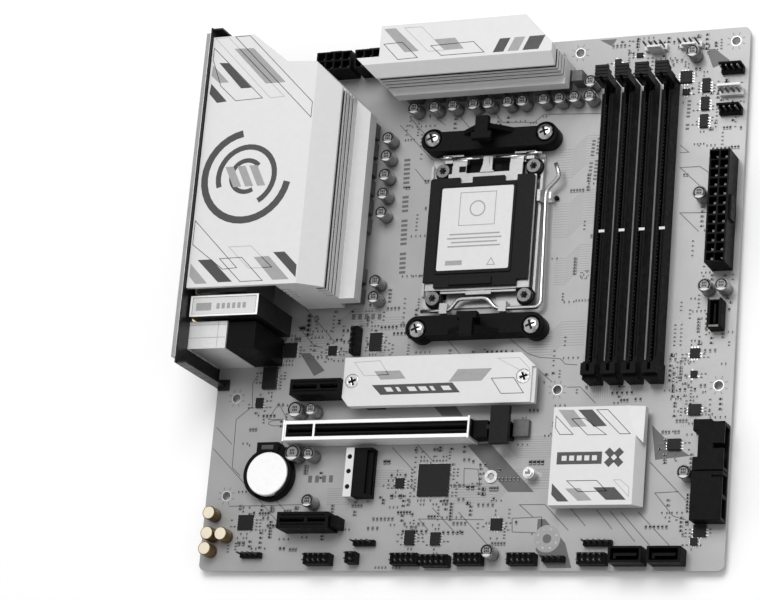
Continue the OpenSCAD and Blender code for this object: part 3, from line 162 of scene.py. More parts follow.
LOOK = {
    "board": ["pcb"],
    "white": ["vrm_heatsink_left", "vrm_heatsink_top", "m2_heatsink", "chipset_heatsink",
              "m2_connector_strip"],
    "pad": ["thermal_pads"],
    "choke": ["chokes"],
    "chip": ["chipset", "chip_packages"],
    "bright_steel": ["pcie_x16_armor", "coin_cell"],
    "jack_block": ["audio_jacks"],
    "steel": ["socket_frame", "load_plate", "io_shield_lip", "network_usb_ports", "usb_ports",
              "video_ports"],
    "screw": ["m2_screws", "m2_standoffs", "heatsink_screws", "cooler_screws"],
    "torx": ["socket_screws"],
    "wire": ["load_lever"],
    "dark_steel": ["cooler_backplate", "io_shield", "wifi_module"],
    "can": ["vrm_capacitors", "board_capacitors"],
    "gold_can": ["audio_capacitors"],
    "plastic": ["m2_connectors", "cpu_socket", "cooler_brackets", "dimm_slots", "atx_power_24pin",
                "cpu_power_8pin", "pcie_x1_slots", "pcie_x16_slot", "usb_c_header",
                "front_usb_header", "sata_side", "sata_upright", "pin_headers", "battery_holder",
                "audio_back", "port_tongues", "flash_button_base"],
    "cap_black": ["socket_cap"],
    "label": ["cap_label"],
    "latch": ["dimm_latch_1", "dimm_latch_2", "dimm_latch_3", "dimm_latch_4", "pcie_x16_latch"],
    "contact": ["contact_pins"],
    "gold": ["antenna_jacks"],
    "button": ["flash_button"],
    "ceramic": ["chip_parts"],
    "solder": ["solder_points"],
}
for key, names in LOOK.items():
    for name in names:
        nodes[name].data.materials.clear()
        nodes[name].data.materials.append(M[key])

# Edge rounding of the carried-over nodes, in millimetres.
BEVEL = {
    0.1: ["chip_packages"],
    0.12: ["pcie_x16_armor"],
    0.15: ["pin_headers", "socket_frame", "load_plate", "io_shield_lip", "socket_screws",
           "m2_screws"],
    0.2: ["dimm_slots", "atx_power_24pin", "cpu_power_8pin", "pcie_x16_slot", "pcie_x1_slots",
          "usb_c_header", "coin_cell", "battery_holder"],
    0.25: ["socket_cap", "dimm_latch_1", "dimm_latch_2", "dimm_latch_3", "dimm_latch_4",
           "sata_side", "sata_upright", "front_usb_header", "audio_jacks", "audio_back",
           "wifi_module"],
    0.3: ["chokes"],
    0.35: ["vrm_heatsink_left", "vrm_heatsink_top", "m2_heatsink", "chipset_heatsink"],
    0.4: ["pcie_x16_latch"],
    0.5: ["cooler_brackets"],
}
# Points closer than this, in metres, count as one.
WELD = 0.000002


def round_edges(ob, width):
    """Bevel along the sharp edges, its width in millimetres."""
    edge = ob.modifiers.new("edges", "BEVEL")
    edge.width = width / 1000
    edge.segments = 2
    edge.limit_method = "ANGLE"
    edge.angle_limit = math.radians(40)
    edge.use_clamp_overlap = True


for width, names in BEVEL.items():
    for name in names:
        weld = nodes[name].modifiers.new("merge", "WELD")
        weld.merge_threshold = WELD
        flat = nodes[name].modifiers.new("flat", "DECIMATE")
        flat.decimate_type = "DISSOLVE"
        flat.angle_limit = math.radians(1)
        round_edges(nodes[name], width)


# ------------------------------------------------------------------ mesh building

def add_object(name, data):
    ob = bpy.data.objects.new(name, data)
    bpy.context.scene.collection.objects.link(ob)
    return ob


def arc(cx, cy, r, start, end, steps):
    """Points along an arc, its angles in radians."""
    angles = [start + (end - start) * i / steps for i in range(steps + 1)]
    return [(cx + r * math.cos(a), cy + r * math.sin(a)) for a in angles]


# Keeps the corners of a drawn line from running far out where it turns sharply.
MITRE_LIMIT = 0.35


class Piece:
    """Collects shapes given in board millimetres and turns them into one mesh object."""

    def __init__(self):
        self.bm = bmesh.new()

    def rings(self, loops, m=0, smooth=False, closed=True, caps=(True, True)):
        made = [[self.bm.verts.new(at(*p)) for p in loop] for loop in loops]
        n = len(made[0])
        for a, b in zip(made, made[1:]):
            for i in range(n if closed else n - 1):
                j = (i + 1) % n
                f = self.bm.faces.new((a[i], a[j], b[j], b[i]))
                f.material_index = m
                f.smooth = smooth
        if caps[0]:
            self.bm.faces.new(list(reversed(made[0]))).material_index = m
        if caps[1]:
            self.bm.faces.new(made[-1]).material_index = m

    def prism(self, pts, z0, z1, m=0):
        area = sum(a[0] * b[1] - b[0] * a[1] for a, b in zip(pts, pts[1:] + pts[:1]))
        if area < 0:
            pts = list(reversed(pts))
        self.rings([[(x, y, z0) for x, y in pts], [(x, y, z1) for x, y in pts]], m)

    def box(self, x0, y0, z0, x1, y1, z1, m=0):
        self.prism([(x0, y0), (x1, y0), (x1, y1), (x0, y1)], z0, z1, m)

    def turned(self, x, y, profile, seg=24, m=0, smooth=True, caps=(True, True)):
        around = [2 * math.pi * i / seg for i in range(seg)]
        loops = [[(x + r * math.cos(a), y + r * math.sin(a), z) for a in around]
                 for r, z in profile]
        self.rings(loops, m, smooth, True, caps)

    def ring(self, x, y, r0, r1, z0, z1, seg=32, m=0):
        self.turned(x, y, [(r0, z0), (r1, z0), (r1, z1), (r0, z1), (r0, z0)], seg, m, False,
                    (False, False))

    def outline(self, pts, width, z0, z1, m=0, closed=True):
        """A drawn line of some width along a run of points."""
        n = len(pts)
        inner, outer = [], []
        for i in range(n):
            p = Vector(pts[i])
            a = Vector(pts[i - 1]) if (closed or i) else None
            b = Vector(pts[(i + 1) % n]) if (closed or i < n - 1) else None
            d1 = (p - a).normalized() if a is not None else (b - p).normalized()
            d2 = (b - p).normalized() if b is not None else d1
            n1 = Vector((-d1.y, d1.x))
            n2 = Vector((-d2.y, d2.x))
            mid = n1 + n2
            mid = mid.normalized() if mid.length > 1e-6 else n1
            k = width / 2 / max(MITRE_LIMIT, mid.dot(n1))
            inner.append(p + mid * k)
            outer.append(p - mid * k)
        for i in range(n if closed else n - 1):
            j = (i + 1) % n
            corners = [tuple(v) for v in (outer[i], outer[j], inner[j], inner[i])]
            self.prism(corners, z0, z1, m)

    def make(self, name, body, mats, bevel=0.0):
        mesh = bpy.data.meshes.new(name)
        bmesh.ops.recalc_face_normals(self.bm, faces=self.bm.faces)
        self.bm.to_mesh(mesh)
        self.bm.free()
        ob = add_object(name, mesh)
        for m in mats:
            mesh.materials.append(M[m])
        if bevel:
            round_edges(ob, bevel)
        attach(ob, body)
        return ob


# ------------------------------------------------------------------ printed graphics

INK = 0.03
PRINT_LINE = 0.3
COVER_TOP = 40.2
EDGE_SINK_TOP = 34.5
FLAT_SINK_TOP = 9.0


def slanted(p, kind, pts, z):
    """One printed shape. lo and do are outlines, light and dark; mf and df are filled."""
    m = {"lo": 0, "do": 1, "mf": 2, "df": 1}[kind]
    if kind in ("lo", "do"):
        p.outline(pts, PRINT_LINE, z, z + INK, m)
    else:
        p.prism(pts, z, z + INK, m)


COVER_PRINT = [
    ("lo", [(0.8, 241.4), (7.5, 241.4), (39, 210), (32, 209.8)]),
    ("do", [(11, 241.4), (18.4, 241.4), (53.4, 206.4), (53.4, 199)]),
    ("mf", [(11, 235.5), (21, 235), (39, 217), (29, 217)]),
    ("do", [(0.6, 236.6), (28, 210), (14.5, 209.6), (6, 217.5), (0.6, 230.8)]),
    ("df", [(4, 229), (8.6, 228.6), (22, 215.5), (16.6, 215.5)]),
    ("mf", [(1, 228), (10, 219), (5, 219), (0.6, 223)]),
    ("df", [(1, 219), (10, 209.6), (5, 209.2), (0.6, 214)]),
    ("do", [(0.6, 152.4), (24, 129), (17, 128.6), (0.6, 141)]),
    ("lo", [(19, 139), (30, 139), (41.4, 128.5), (30, 128.5)]),
    ("do", [(15, 133.6), (26, 133.8), (37.4, 122.4), (26.4, 122.4)]),
    ("df", [(4, 133.5), (11, 133.5), (22.4, 122.5), (15.4, 122.5)]),
    ("mf", [(0.6, 132), (10, 122.2), (4, 122.2), (0.6, 126)]),
    ("mf", [(32, 133.6), (39.4, 133.8), (50.4, 122.5), (42.4, 122.5)]),
    ("df", [(41.4, 135.5), (47, 135.5), (53.6, 129), (53.6, 123.2)]),
]
SINK_PRINT = [
    ("mf", [(83, 241.6), (88.6, 241.6), (101, 229.5), (94, 229.5)]),
    ("do", [(83.5, 234.2), (92.5, 234.4), (100.5, 226.4), (91, 226.2)]),
    ("lo", [(93, 241.4), (101.4, 241.2), (113.4, 229), (105.5, 229)]),
    ("mf", [(108, 234.6), (118, 234.6), (122.6, 229), (113.6, 229)]),
    ("do", [(106.6, 231.6), (127, 232), (132.5, 226.5), (112, 226.5)]),
    ("df", [(139.6, 232.4), (144.6, 232.4), (141.6, 226), (136.6, 226)]),
    ("mf", [(146.6, 232.4), (151.6, 232.4), (148.6, 226), (143.6, 226)]),
    ("df", [(153.6, 232.4), (161, 232.4), (158, 226), (150.6, 226)]),
]
CHIP_PRINT = [
    ("mf", [(169.6, 68.4), (176.6, 68.2), (183, 60.8), (176, 60.6)]),
    ("df", [(178.6, 68.2), (185, 68.2), (192, 60.8), (186, 60.6)]),
    ("do", [(187, 68), (192, 68), (202.6, 57.2), (198, 57.2)]),
    ("do", [(176, 64.2), (181.6, 64.4), (192, 57), (183.5, 57)]),
    ("do", [(168.8, 65.6), (177, 57.4), (171, 57.4), (168.8, 60.5)]),
    ("df", [(170.4, 49.6), (190.6, 49.6), (190.6, 44.2), (170.4, 44.2)]),
    ("df", [(169, 36), (177, 28), (172, 28), (169, 31)]),
    ("do", [(175.6, 37), (189, 37), (193.6, 32.4), (181, 32.2)]),
    ("mf", [(175, 33.6), (181.6, 33.8), (187.4, 28.4), (181, 28.2)]),
    ("df", [(187.6, 34), (197, 34), (202.4, 28.5), (193.6, 28.5)]),
    ("lo", [(196.4, 37.2), (199.4, 37.2), (203.4, 34), (203.4, 30)]),
]
M2_PRINT = [
    ("lo", [(71.6, 92.6), (84, 93), (88.6, 86.5), (77, 86.2)]),
    ("mf", [(81.6, 88.2), (94, 88.2), (97, 84.4), (85, 84.2)]),
    ("df", [(81, 81.8), (119.4, 82), (123.4, 77.4), (85.6, 77.2)]),
    ("mf", [(121.6, 88), (137.6, 88), (133, 82.4), (117.6, 82.4)]),
    ("do", [(137.6, 83.4), (148, 83.4), (153, 76.4), (142.6, 76.4)]),
    ("lo", [(140, 92.4), (150, 92.4), (155, 87.4), (155, 84.4)]),
]


def ring_emblem(p, z):
    """A plain emblem: three slanted bars in a broken ring."""
    cx, cy = 24.0, 172.5
    for r, start, end, width in ((21, 100, 350, 3.4), (14, -60, 200, 2.6), (7.5, 40, 300, 2.2)):
        pts = arc(cx, cy, r, math.radians(start), math.radians(end), (end - start) // 10)
        p.outline(pts, width, z, z + INK, 1, closed=False)
    for k in (-1, 0, 1):
        x = cx + k * 6
        p.prism([(x - 5, cy + 5), (x - 1, cy + 5), (x + 4, cy - 5), (x, cy - 5)],
                z + 0.002, z + INK + 0.002, 2)


def slanted_bars(p, z):
    """Plain bars in place of words."""
    for i, width in enumerate((4.6, 2.2, 5.4, 5.4, 2.4, 5.6)):
        x, w = 87 + i * 5.4, width * 0.7
        p.prism([(x, 80.6), (x + w, 80.6), (x + w + 1.6, 78.6), (x + 1.6, 78.6)],
                z + INK, z + INK * 1.6, 3)


def cross_mark(p, z):
    """Plain bars and a four armed mark."""
    for i in range(5):
        x = 172.6 + i * 3.4
        p.box(x, 45.8, z + INK, x + 2.2, 48, z + INK * 1.6, 3)
    for arm in range(4):
        c, d = math.cos(arm * math.pi / 2 + 0.78), math.sin(arm * math.pi / 2 + 0.78)
        quad = [(1.0, -1.5), (4.6, -1.5), (4.6, 1.5), (1.0, 1.5)]
        p.prism([(196 + c * u - d * v, 47 + d * u + c * v) for u, v in quad], z, z + INK, 1)


def heatsink_prints():
    for name, marks, z, extra in (("cover_print", COVER_PRINT, COVER_TOP, ring_emblem),
                                  ("sink_print", SINK_PRINT, EDGE_SINK_TOP, None),
                                  ("chipset_print", CHIP_PRINT, FLAT_SINK_TOP, cross_mark),
                                  ("storage_print", M2_PRINT, FLAT_SINK_TOP, slanted_bars)):
        p = Piece()
        for kind, pts in marks:
            slanted(p, kind, pts, z)
        if extra:
            extra(p, z)
        p.make(name, "board", ["print_pale", "print_and_shade_dark", "print_mid", "label"])


heatsink_prints()


# ------------------------------------------------------------------ board graphics and small parts

def islands(ob):
    """Boxes of the separate solids of a CAD node, in board millimetres."""
    bm = bmesh.new()
    bm.from_mesh(ob.data)
    bmesh.ops.remove_doubles(bm, verts=bm.verts, dist=WELD)
    seen, found = set(), []
    for start in bm.verts:
        if start.index in seen:
            continue
        stack, low, high = [start], Vector((9, 9, 9)), Vector((-9, -9, -9))
        seen.add(start.index)
        while stack:
            v = stack.pop()
            for k in range(3):
                low[k] = min(low[k], v.co[k])
                high[k] = max(high[k], v.co[k])
            for e in v.link_edges:
                w = e.other_vert(v)
                if w.index not in seen:
                    seen.add(w.index)
                    stack.append(w)
        found.append([low[k] * 1000 + ORIGIN[k] for k in range(3)]
                     + [high[k] * 1000 + ORIGIN[k] for k in range(3)])
    bm.free()
    return found


# Only what starts below this height keeps chip parts away.
BOARD_ZONE = 3
# Areas of the board top that are already covered, as x0, y0, x1, y1.
taken = []
for name, ob in nodes.items():
    if name in ("pcb", "cooler_backplate", "heatsink_screws", "solder_points", "chip_parts",
                "io_shield", "thermal_pads"):
        continue
    for x0, y0, z0, x1, y1, z1 in islands(ob):
        if z0 < BOARD_ZONE:
            taken.append((x0, y0, x1, y1))
taken += [(0, 120, 72, 244), (70, 216, 166, 244), (66, 72, 158, 95), (167, 26, 211, 70)]
# Mounting holes; the last has a wide plated face with small vias around it.
WIDE_HOLE = (165.1, 13.97)
HOLES = [(33.02, 237.49), (165.1, 237.49), (237.49, 237.49), (10.16, 80.01), (165.1, 80.01),
         (237.49, 80.01), (10.16, 34.29), WIDE_HOLE]
HOLE_ROOM = 5
for hx, hy in HOLES:
    taken.append((hx - HOLE_ROOM, hy - HOLE_ROOM, hx + HOLE_ROOM, hy + HOLE_ROOM))
BOARD_EDGE = 1
BOARD_SIDE = 243.8


def is_free(x0, y0, x1, y1, room):
    far = BOARD_SIDE - BOARD_EDGE
    if x0 < BOARD_EDGE or y0 < BOARD_EDGE or x1 > far or y1 > far:
        return False
    return not any(x0 - room < c and x1 + room > a and y0 - room < d and y1 + room > b
                   for a, b, c, d in taken)


smd = Piece()

# Length, width and height of the chip parts.
CHIP_SIZES = ((1.0, 0.5, 0.35), (1.6, 0.8, 0.5), (2.0, 1.25, 0.8))
# Material slots: body of a capacitor, body of a resistor, tinned end.
CAP, RES, TIN = range(3)


def chip_part(x, y, across, kind, size=0):
    """One chip part: body and two tinned ends. across turns it along y."""
    length, width, high = CHIP_SIZES[size]
    w, d = (width, length) if across else (length, width)
    if not is_free(x, y, x + w, y + d, 0.15):
        return
    taken.append((x, y, x + w, y + d))
    end = 0.26 * length
    if across:
        smd.box(x + 0.03, y + end, 0, x + w - 0.03, y + d - end, high - 0.03, kind)
        smd.box(x, y, 0, x + w, y + end, high, TIN)
        smd.box(x, y + d - end, 0, x + w, y + d, high, TIN)
    else:
        smd.box(x + end, y + 0.03, 0, x + w - end, y + d - 0.03, high - 0.03, kind)
        smd.box(x, y, 0, x + end, y + d, high, TIN)
        smd.box(x + w - end, y, 0, x + w, y + d, high, TIN)


def row(x, y, count, dx, dy, across, kind, size):
    for i in range(count):
        chip_part(x + i * dx, y + i * dy, across, kind, size)


def cluster(x0, y0, x1, y1, count, sizes):
    """Short rows of chip parts at random places in a region."""
    while count > 0:
        n = rng.randint(2, 6)
        horizontal = rng.random() < 0.5
        x, y = rng.uniform(x0, x1), rng.uniform(y0, y1)
        step = rng.choice((1.4, 1.8, 2.2))
        size = rng.choice(sizes)
        kind = rng.choice((CAP, RES))
        if horizontal:
            row(x, y, n, step, 0, True, kind, size)
        else:
            row(x, y, n, 0, step, False, kind, size)
        count -= n


# Around each package, a loose fence of parts.
FENCE_PITCH = 1.5
FENCE_GAPS = 0.45
for x0, y0, z0, x1, y1, z1 in islands(nodes["chip_packages"]):
    if z0 > 0.5 or x1 < 3:
        continue
    for side in range(4):
        for lane in (1.2, 3.0):
            n = int(((x1 - x0) if side < 2 else (y1 - y0)) / FENCE_PITCH)
            for i in range(n):
                if rng.random() < FENCE_GAPS:
                    continue
                if side < 2:
                    y = y0 - lane - 1.0 if side == 0 else y1 + lane
                    chip_part(x0 + i * FENCE_PITCH, y, True, rng.choice((CAP, RES)))
                else:
                    x = x0 - lane - 1.0 if side == 2 else x1 + lane
                    chip_part(x, y0 + i * FENCE_PITCH, False, rng.choice((CAP, RES)))

# Regions as x0, y0, x1, y1 and the number of parts to try.
FINE_REGIONS = [
    (14, 56, 42, 78, 40), (40, 96, 92, 112, 70), (78, 28, 134, 54, 90), (84, 10, 160, 26, 90),
    (12, 8, 60, 18, 40), (60, 14, 92, 30, 30), (140, 66, 166, 84, 20), (212, 66, 240, 100, 60),
    (212, 40, 230, 64, 30), (212, 14, 230, 30, 30), (160, 72, 232, 80, 50),
    (222, 184, 243, 216, 40), (180, 222, 232, 240, 70), (78, 112, 96, 212, 60),
    (157, 112, 176, 212, 40), (216, 110, 232, 216, 60), (100, 204, 176, 211, 40),
    (134, 26, 166, 58, 12), (24, 90, 60, 118, 60), (84, 96, 180, 100, 40),
    (222, 100, 243, 132, 90), (222, 184, 243, 208, 70), (214, 64, 243, 104, 110),
    (80, 196, 92, 226, 50), (60, 112, 84, 124, 40), (160, 56, 168, 96, 50),
    (88, 14, 136, 58, 120), (12, 14, 44, 36, 50), (182, 222, 224, 243, 90),
]
COARSE_REGIONS = [
    (212, 60, 230, 100, 26), (224, 128, 243, 156, 10), (78, 22, 150, 56, 44),
    (36, 40, 64, 62, 14), (134, 24, 166, 58, 16), (18, 92, 60, 114, 26),
    (180, 222, 226, 241, 20), (222, 184, 243, 216, 26), (82, 206, 96, 228, 14),
    (60, 96, 84, 122, 18), (12, 10, 60, 34, 18), (160, 66, 184, 84, 12), (204, 10, 228, 26, 12),
]
for region in FINE_REGIONS:
    cluster(*region, sizes=(0, 1))
for region in COARSE_REGIONS:
    cluster(*region, sizes=(1, 2))
small_parts = smd.make("small_parts", "board", ["ceramic", "chip", "tin_end"])
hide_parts("chip_parts")


# Dark printed stripes on the board, and one painted shadow.
BOARD_STRIPES_AND_PAINTED_SHADOW = [
    [(125, 56), (135.7, 56.7), (157.7, 34.5), (145.8, 34.7)],
    [(107.4, 74.1), (117.8, 74.3), (122, 69.2), (112.1, 69.4)],
    [(209, 63.3), (216, 56.5), (226.6, 49.4), (211.3, 47.9)],
    [(160.3, 22.6), (163.6, 22.6), (173.5, 12), (177, 1.2), (166, 1.2), (160.3, 9)],
    # grey triangle: a painted shadow, drawn in the stripe ink
    [(40, 100.5), (45, 100.5), (53, 92), (48, 89.5)],
    [(174, 243), (182, 243), (180, 239.5)],
    [(224, 234.5), (228, 234.5), (235, 228.5), (227.5, 225.5)],
]
# Thin printed lines, most of them at 45 degrees.
BOARD_LINES = [
    [(214.5, 190), (218.5, 186.5), (214.5, 186.5)],
    [(228, 176.5), (224, 179.5), (215, 179.5), (227.5, 167.5)],
    [(228, 158), (216, 158.5), (225, 149.5)],
    [(79.5, 208.5), (97, 190.5)], [(84, 212), (92.5, 203)], [(89, 186.5), (95.5, 179)],
    [(126, 211.5), (130, 206.5), (145.5, 205.5), (149.5, 209), (178, 207.5)],
    [(107.5, 212.5), (114, 205)], [(95, 213), (102, 207)],
    [(140, 105), (150, 97), (155.5, 95), (165.5, 94), (168, 91.5), (173.5, 91)],
    [(149, 95), (162.5, 83.5)], [(169.5, 81), (175.5, 81), (183, 73.5)],
    [(158, 23.5), (151.5, 29), (163, 29), (174.5, 17.5)],
    [(135.5, 22.5), (105, 23), (110, 18)], [(111, 28), (123.5, 16)], [(123.5, 26), (138, 11.5)],
    [(101.5, 56.5), (109.5, 49)], [(89.5, 55.5), (100.5, 45)],
    [(173.5, 28.5), (182, 19.5)], [(186.5, 26.5), (194, 18)], [(192.5, 26), (204.5, 12.5)],
    [(197.5, 25.5), (211, 11)], [(205, 25.5), (222.5, 8)], [(209, 47), (226.5, 29.5)],
    [(222.5, 34), (212, 33.5), (220.5, 23.5), (227, 21.5)],
    [(124.5, 45.5), (131, 45), (132.5, 37.5), (125, 37.5), (124.5, 45.5)],
    [(19, 89.5), (17.5, 87), (18.5, 76), (11, 70), (11.5, 47.5), (16, 43.5)],
    [(1.5, 66.5), (10, 58.5)], [(1, 56.5), (20, 38.5)], [(24.5, 34.5), (37, 22)],
    [(35, 32), (40.5, 27)], [(12, 29.5), (48.5, 30)], [(37.5, 125), (57, 105)],
    [(37.5, 113.5), (47, 103.5), (51, 103)], [(112, 104), (120, 96), (131, 96)],
    [(148.5, 23), (162, 23.5), (162.5, 16.5), (149, 17), (148.5, 23)],
]


# Runs of bars where the board has lettering: start, end, bar width, pitch, bars in each group.
BOARD_BARS = [
    ((88.4, 136.5), (85.6, 203.5), 3.0, 2.2, (5, 6, 4, 7)),
    ((174.2, 178.5), (175.6, 202), 1.6, 1.7, (4, 5)),
    ((176.6, 176), (178, 204.5), 1.6, 1.7, (6, 5)),
    ((218, 197), (218.4, 214.5), 1.6, 1.8, (2, 5)),
    ((64, 115.6), (81.5, 115), 2.6, 3.2, (6,)),
    ((50, 40), (63.5, 40), 3.2, 3.4, (4,)),
    ((86, 0.8), (100, 0.8), 1.2, 1.6, (4, 3)),
]
# Material slots of the board print.
STRIPE_AND_PAINTED_SHADOW, LINE, RING, VIA, HOLE_FACE = range(5)


def bars(p, start, end, width, pitch, groups):
    a, b = Vector(start), Vector(end)
    along = (b - a).normalized()
    across = Vector((-along.y, along.x))
    pos, length = 0.0, pitch * 0.55
    for count in groups:
        for k in range(count):
            if pos + length > (b - a).length:
                return
            q = a + along * pos
            e = q + along * length
            p.prism([tuple(q), tuple(e), tuple(e + across * width), tuple(q + across * width)],
                    0, INK, LINE)
            pos += pitch
        pos += pitch * 1.2


def board_print():
    p = Piece()
    for pts in BOARD_STRIPES_AND_PAINTED_SHADOW:
        p.prism(pts, 0, INK, STRIPE_AND_PAINTED_SHADOW)
    for pts in BOARD_LINES:
        p.outline(pts, 0.38, 0, INK, LINE, closed=False)
    # plain triangle with an oval under it
    p.outline([(31.7, 77.2), (27.3, 69.6), (36.6, 69.6)], 0.4, 0, INK, LINE)
    p.outline([(32 + 4.6 * math.cos(i * math.pi / 12), 67.9 + 1.3 * math.sin(i * math.pi / 12))
               for i in range(24)], 0.35, 0, INK, LINE)
    for run in BOARD_BARS:
        bars(p, *run)
    # small square of dots
    for i in range(6):
        for j in range(6):
            if rng.random() < 0.6:
                x, y = 172 + i * 0.7, 130 + j * 0.7
                p.box(x, y, 0, x + 0.6, y + 0.6, INK, LINE)
    p.ring(224, 236, 0.9, 1.7, 0, INK, 24, LINE)
    for hx, hy in HOLES:
        wide = (hx, hy) == WIDE_HOLE
        p.ring(hx, hy, 1.99, 6.0 if wide else 2.35, 0, INK * 1.4, 40, HOLE_FACE if wide else RING)
        for k in range(8):
            a = math.radians(22.5 + k * 45)
            c, d = math.cos(a), math.sin(a)
            if wide:
                p.ring(hx + 4.4 * c, hy + 4.4 * d, 0.2, 0.4, INK, INK * 2, 10, VIA)
            else:
                p.prism([(hx + r * c - t * d, hy + r * d + t * c)
                         for r, t in ((3.0, 0.14), (4.3, 0.14), (4.3, -0.14), (3.0, -0.14))],
                        0, INK, LINE)
    p.make("board_print", "board", ["stripe_and_painted_shadow", "print_line", "ring", "solder", "print_mid"])


board_print()


# Bundles of copper runs: from, to, number of runs, pitch.
TRACES = [
    ((176, 96), (176, 76), 14, 1.0), ((160, 128), (176, 128), 12, 1.1),
    ((150, 96), (176, 100), 10, 1.2), ((120, 62), (166, 50), 10, 1.0),
    ((60, 30), (96, 38), 8, 1.0), ((118, 30), (168, 30), 8, 1.2), ((40, 100), (76, 112), 8, 1.2),
    ((214, 90), (222, 62), 8, 1.0), ((158, 150), (178, 150), 14, 1.2),
    ((158, 178), (178, 178), 12, 1.2), ((90, 110), (60, 96), 6, 1.2),
]
# Sideways step of a bundle that ends in line with its start.
LONE_SHIFT = 6


def board_traces():
    """Faint copper runs under the mask: bundles of lines with 45 degree bends, and vias."""
    p = Piece()
    for (x0, y0), (x1, y1), n, pitch in TRACES:
        dx, dy = x1 - x0, y1 - y0
        for i in range(n):
            off = i * pitch
            if abs(dx) > abs(dy):
                k = abs(dy) if dy else LONE_SHIFT
                shift = k if dy >= 0 else -k
                m, a, b = (x0 + x1) / 2, y0 + off, y0 + off + shift
                pts = [(x0, a), (m - k / 2, a), (m + k / 2, b), (x1, b)]
            else:
                k = abs(dx) if dx else LONE_SHIFT
                shift = k if dx >= 0 else -k
                half = k / 2 if dy > 0 else -k / 2
                m, a, b = (y0 + y1) / 2, x0 + off, x0 + off + shift
                pts = [(a, y0), (a, m - half), (b, m + half), (b, y1)]
            p.outline(pts, 0.25, 0, 0.012, 0, closed=False)
    for i in range(900):
        x, y = rng.uniform(4, 240), rng.uniform(4, 240)
        if is_free(x - 0.4, y - 0.4, x + 0.4, y + 0.4, 0.1):
            p.turned(x, y, [(0.28, 0), (0.28, 0.014)], 8, 1, False)
    p.make("board_traces", "board", ["trace", "print_mid"])


board_traces()


LEAD_REACH = 0.9
FOOT = 0.14
# Package areas in square millimetres that set the lead pitch and how many sides have leads.
SMALL_AREA, FOUR_SIDED_AREA, LARGE_AREA = 36, 40, 150


def chip_leads():
    """Gull wing leads beside the flat packages that lie in the open."""
    p = Piece()
    for x0, y0, z0, x1, y1, z1 in islands(nodes["chip_packages"]):
        w, d = x1 - x0, y1 - y0
        if z0 > 0.5 or z1 < 0.7 or w < 2.9:
            continue
        under_heatsink = y0 > 230 and x0 < 165 or x0 < 60 and y0 > 123
        if under_heatsink:
            continue
        pitch = 1.27 if w * d < SMALL_AREA and w != d else 0.8
        if w * d > LARGE_AREA:
            pitch = 0.65
        wide = pitch * 0.42
        for i in range(int((d - 0.5) / pitch)):
            y = y0 + 0.4 + i * pitch
            for foot, heel in (((x0 - LEAD_REACH, x0 + 0.05), (x0 - 0.3, x0)),
                               ((x1 - 0.05, x1 + LEAD_REACH), (x1, x1 + 0.3))):
                p.box(foot[0], y, 0, foot[1], y + wide, FOOT)
                p.box(heel[0], y, FOOT, heel[1], y + wide, min(z1 * 0.6, 0.7))
        if w * d > FOUR_SIDED_AREA or abs(w - d) < 0.6:
            for i in range(int((w - 0.5) / pitch)):
                x = x0 + 0.4 + i * pitch
                for start, end in ((y0 - LEAD_REACH, y0 + 0.05), (y1 - 0.05, y1 + LEAD_REACH)):
                    p.box(x, start, 0, x + wide, end, FOOT)
    p.make("chip_leads", "board", ["solder"])


chip_leads()


def capacitor_tops():
    """Top of each can: dark rim, grey field with rows of marks, bright strip on one side."""
    p = Piece()
    rim, can, gold_can, field_grey, gold_field, strip = range(6)
    for name in ("vrm_capacitors", "board_capacitors", "audio_capacitors"):
        gold = name == "audio_capacitors"
        for x0, y0, z0, x1, y1, z in islands(nodes[name]):
            cx, cy, r = (x0 + x1) / 2, (y0 + y1) / 2, (x1 - x0) / 2
            inner = r - 0.4
            if gold:
                p.turned(cx, cy, [(inner, z), (inner, z + 0.03)], 32, gold_field, False)
                p.ring(cx, cy, inner - 0.05, inner + 0.2, z, z + 0.05, 32, gold_can)
            else:
                p.turned(cx, cy, [(inner, z), (inner, z + 0.02)], 32, rim, False)
                # the field and the strip meet along one chord
                field = inner - 0.65
                chord = 0.62 * inner
                a = -math.asin(chord / field)
                p.prism(arc(cx, cy, field, a, math.pi - a, 14), z + 0.02, z + 0.04, field_grey)
                a = math.asin(chord / inner)
                p.prism(arc(cx, cy, inner, -a, a - math.pi, 8), z + 0.02, z + 0.05, strip)
                for i in range(3):
                    for j in range(2):
                        mx, my = cx - 1.05 + i * 0.8, cy - 0.85 + j * 1.3
                        p.box(mx, my, z + 0.04, mx + 0.5, my + 0.95, z + 0.06, rim)
            # rolled bead near the foot
            p.turned(cx, cy, [(r + 0.01, 1.6), (r + 0.1, 1.75), (r + 0.1, 2.0), (r + 0.01, 2.15)],
                     28, gold_can if gold else can, True, (False, False))
    p.make("capacitor_marks", "board", ["black_and_painted_shade", "can", "gold_can", "can_top", "gold_top", "label"])


capacitor_tops()


# Fin grooves of the two large heat sinks: pitch, height of the top one and of the others, and the
# level of the first groove's upper face on each.
FIN_PITCH = 3.6
TOP_GROOVE, GROOVE = 2.4, 1.4
COVER_GROOVE_Z, EDGE_GROOVE_Z = 32.0, 28.6


def groove_shadows():
    """Painted shade: dark strips on the ledges inside the fin grooves, and dark sheets over the
    groove mouths on the cover's front end.
    """
    p = Piece()
    for i in range(4):
        h = TOP_GROOVE if i == 0 else GROOVE
        face = COVER_GROOVE_Z - i * FIN_PITCH
        z = face - h
        # painted shade: dark strips on the ledges inside the grooves of both heat sinks
        p.box(59.95, 121, z, 64.05, 215, z + 0.03)
        z = EDGE_GROOVE_Z - i * FIN_PITCH - h
        p.box(79.5, 220.35, z, 164.0, 224.45, z + 0.03)
        p.box(159.9, 224.45, z, 163.95, 229, z + 0.03)
        # painted shade: dark sheets over the groove mouths on the cover's front end
        for x, high in ((43.1, GROOVE), (60.0, h)):
            p.box(x, 121.0, face + 0.05 - high, x + 4.2, 121.2, face - 0.05, 1)
    p.make("groove_ledge_shade", "board", ["print_and_shade_dark", "black_and_painted_shade"])


groove_shadows()


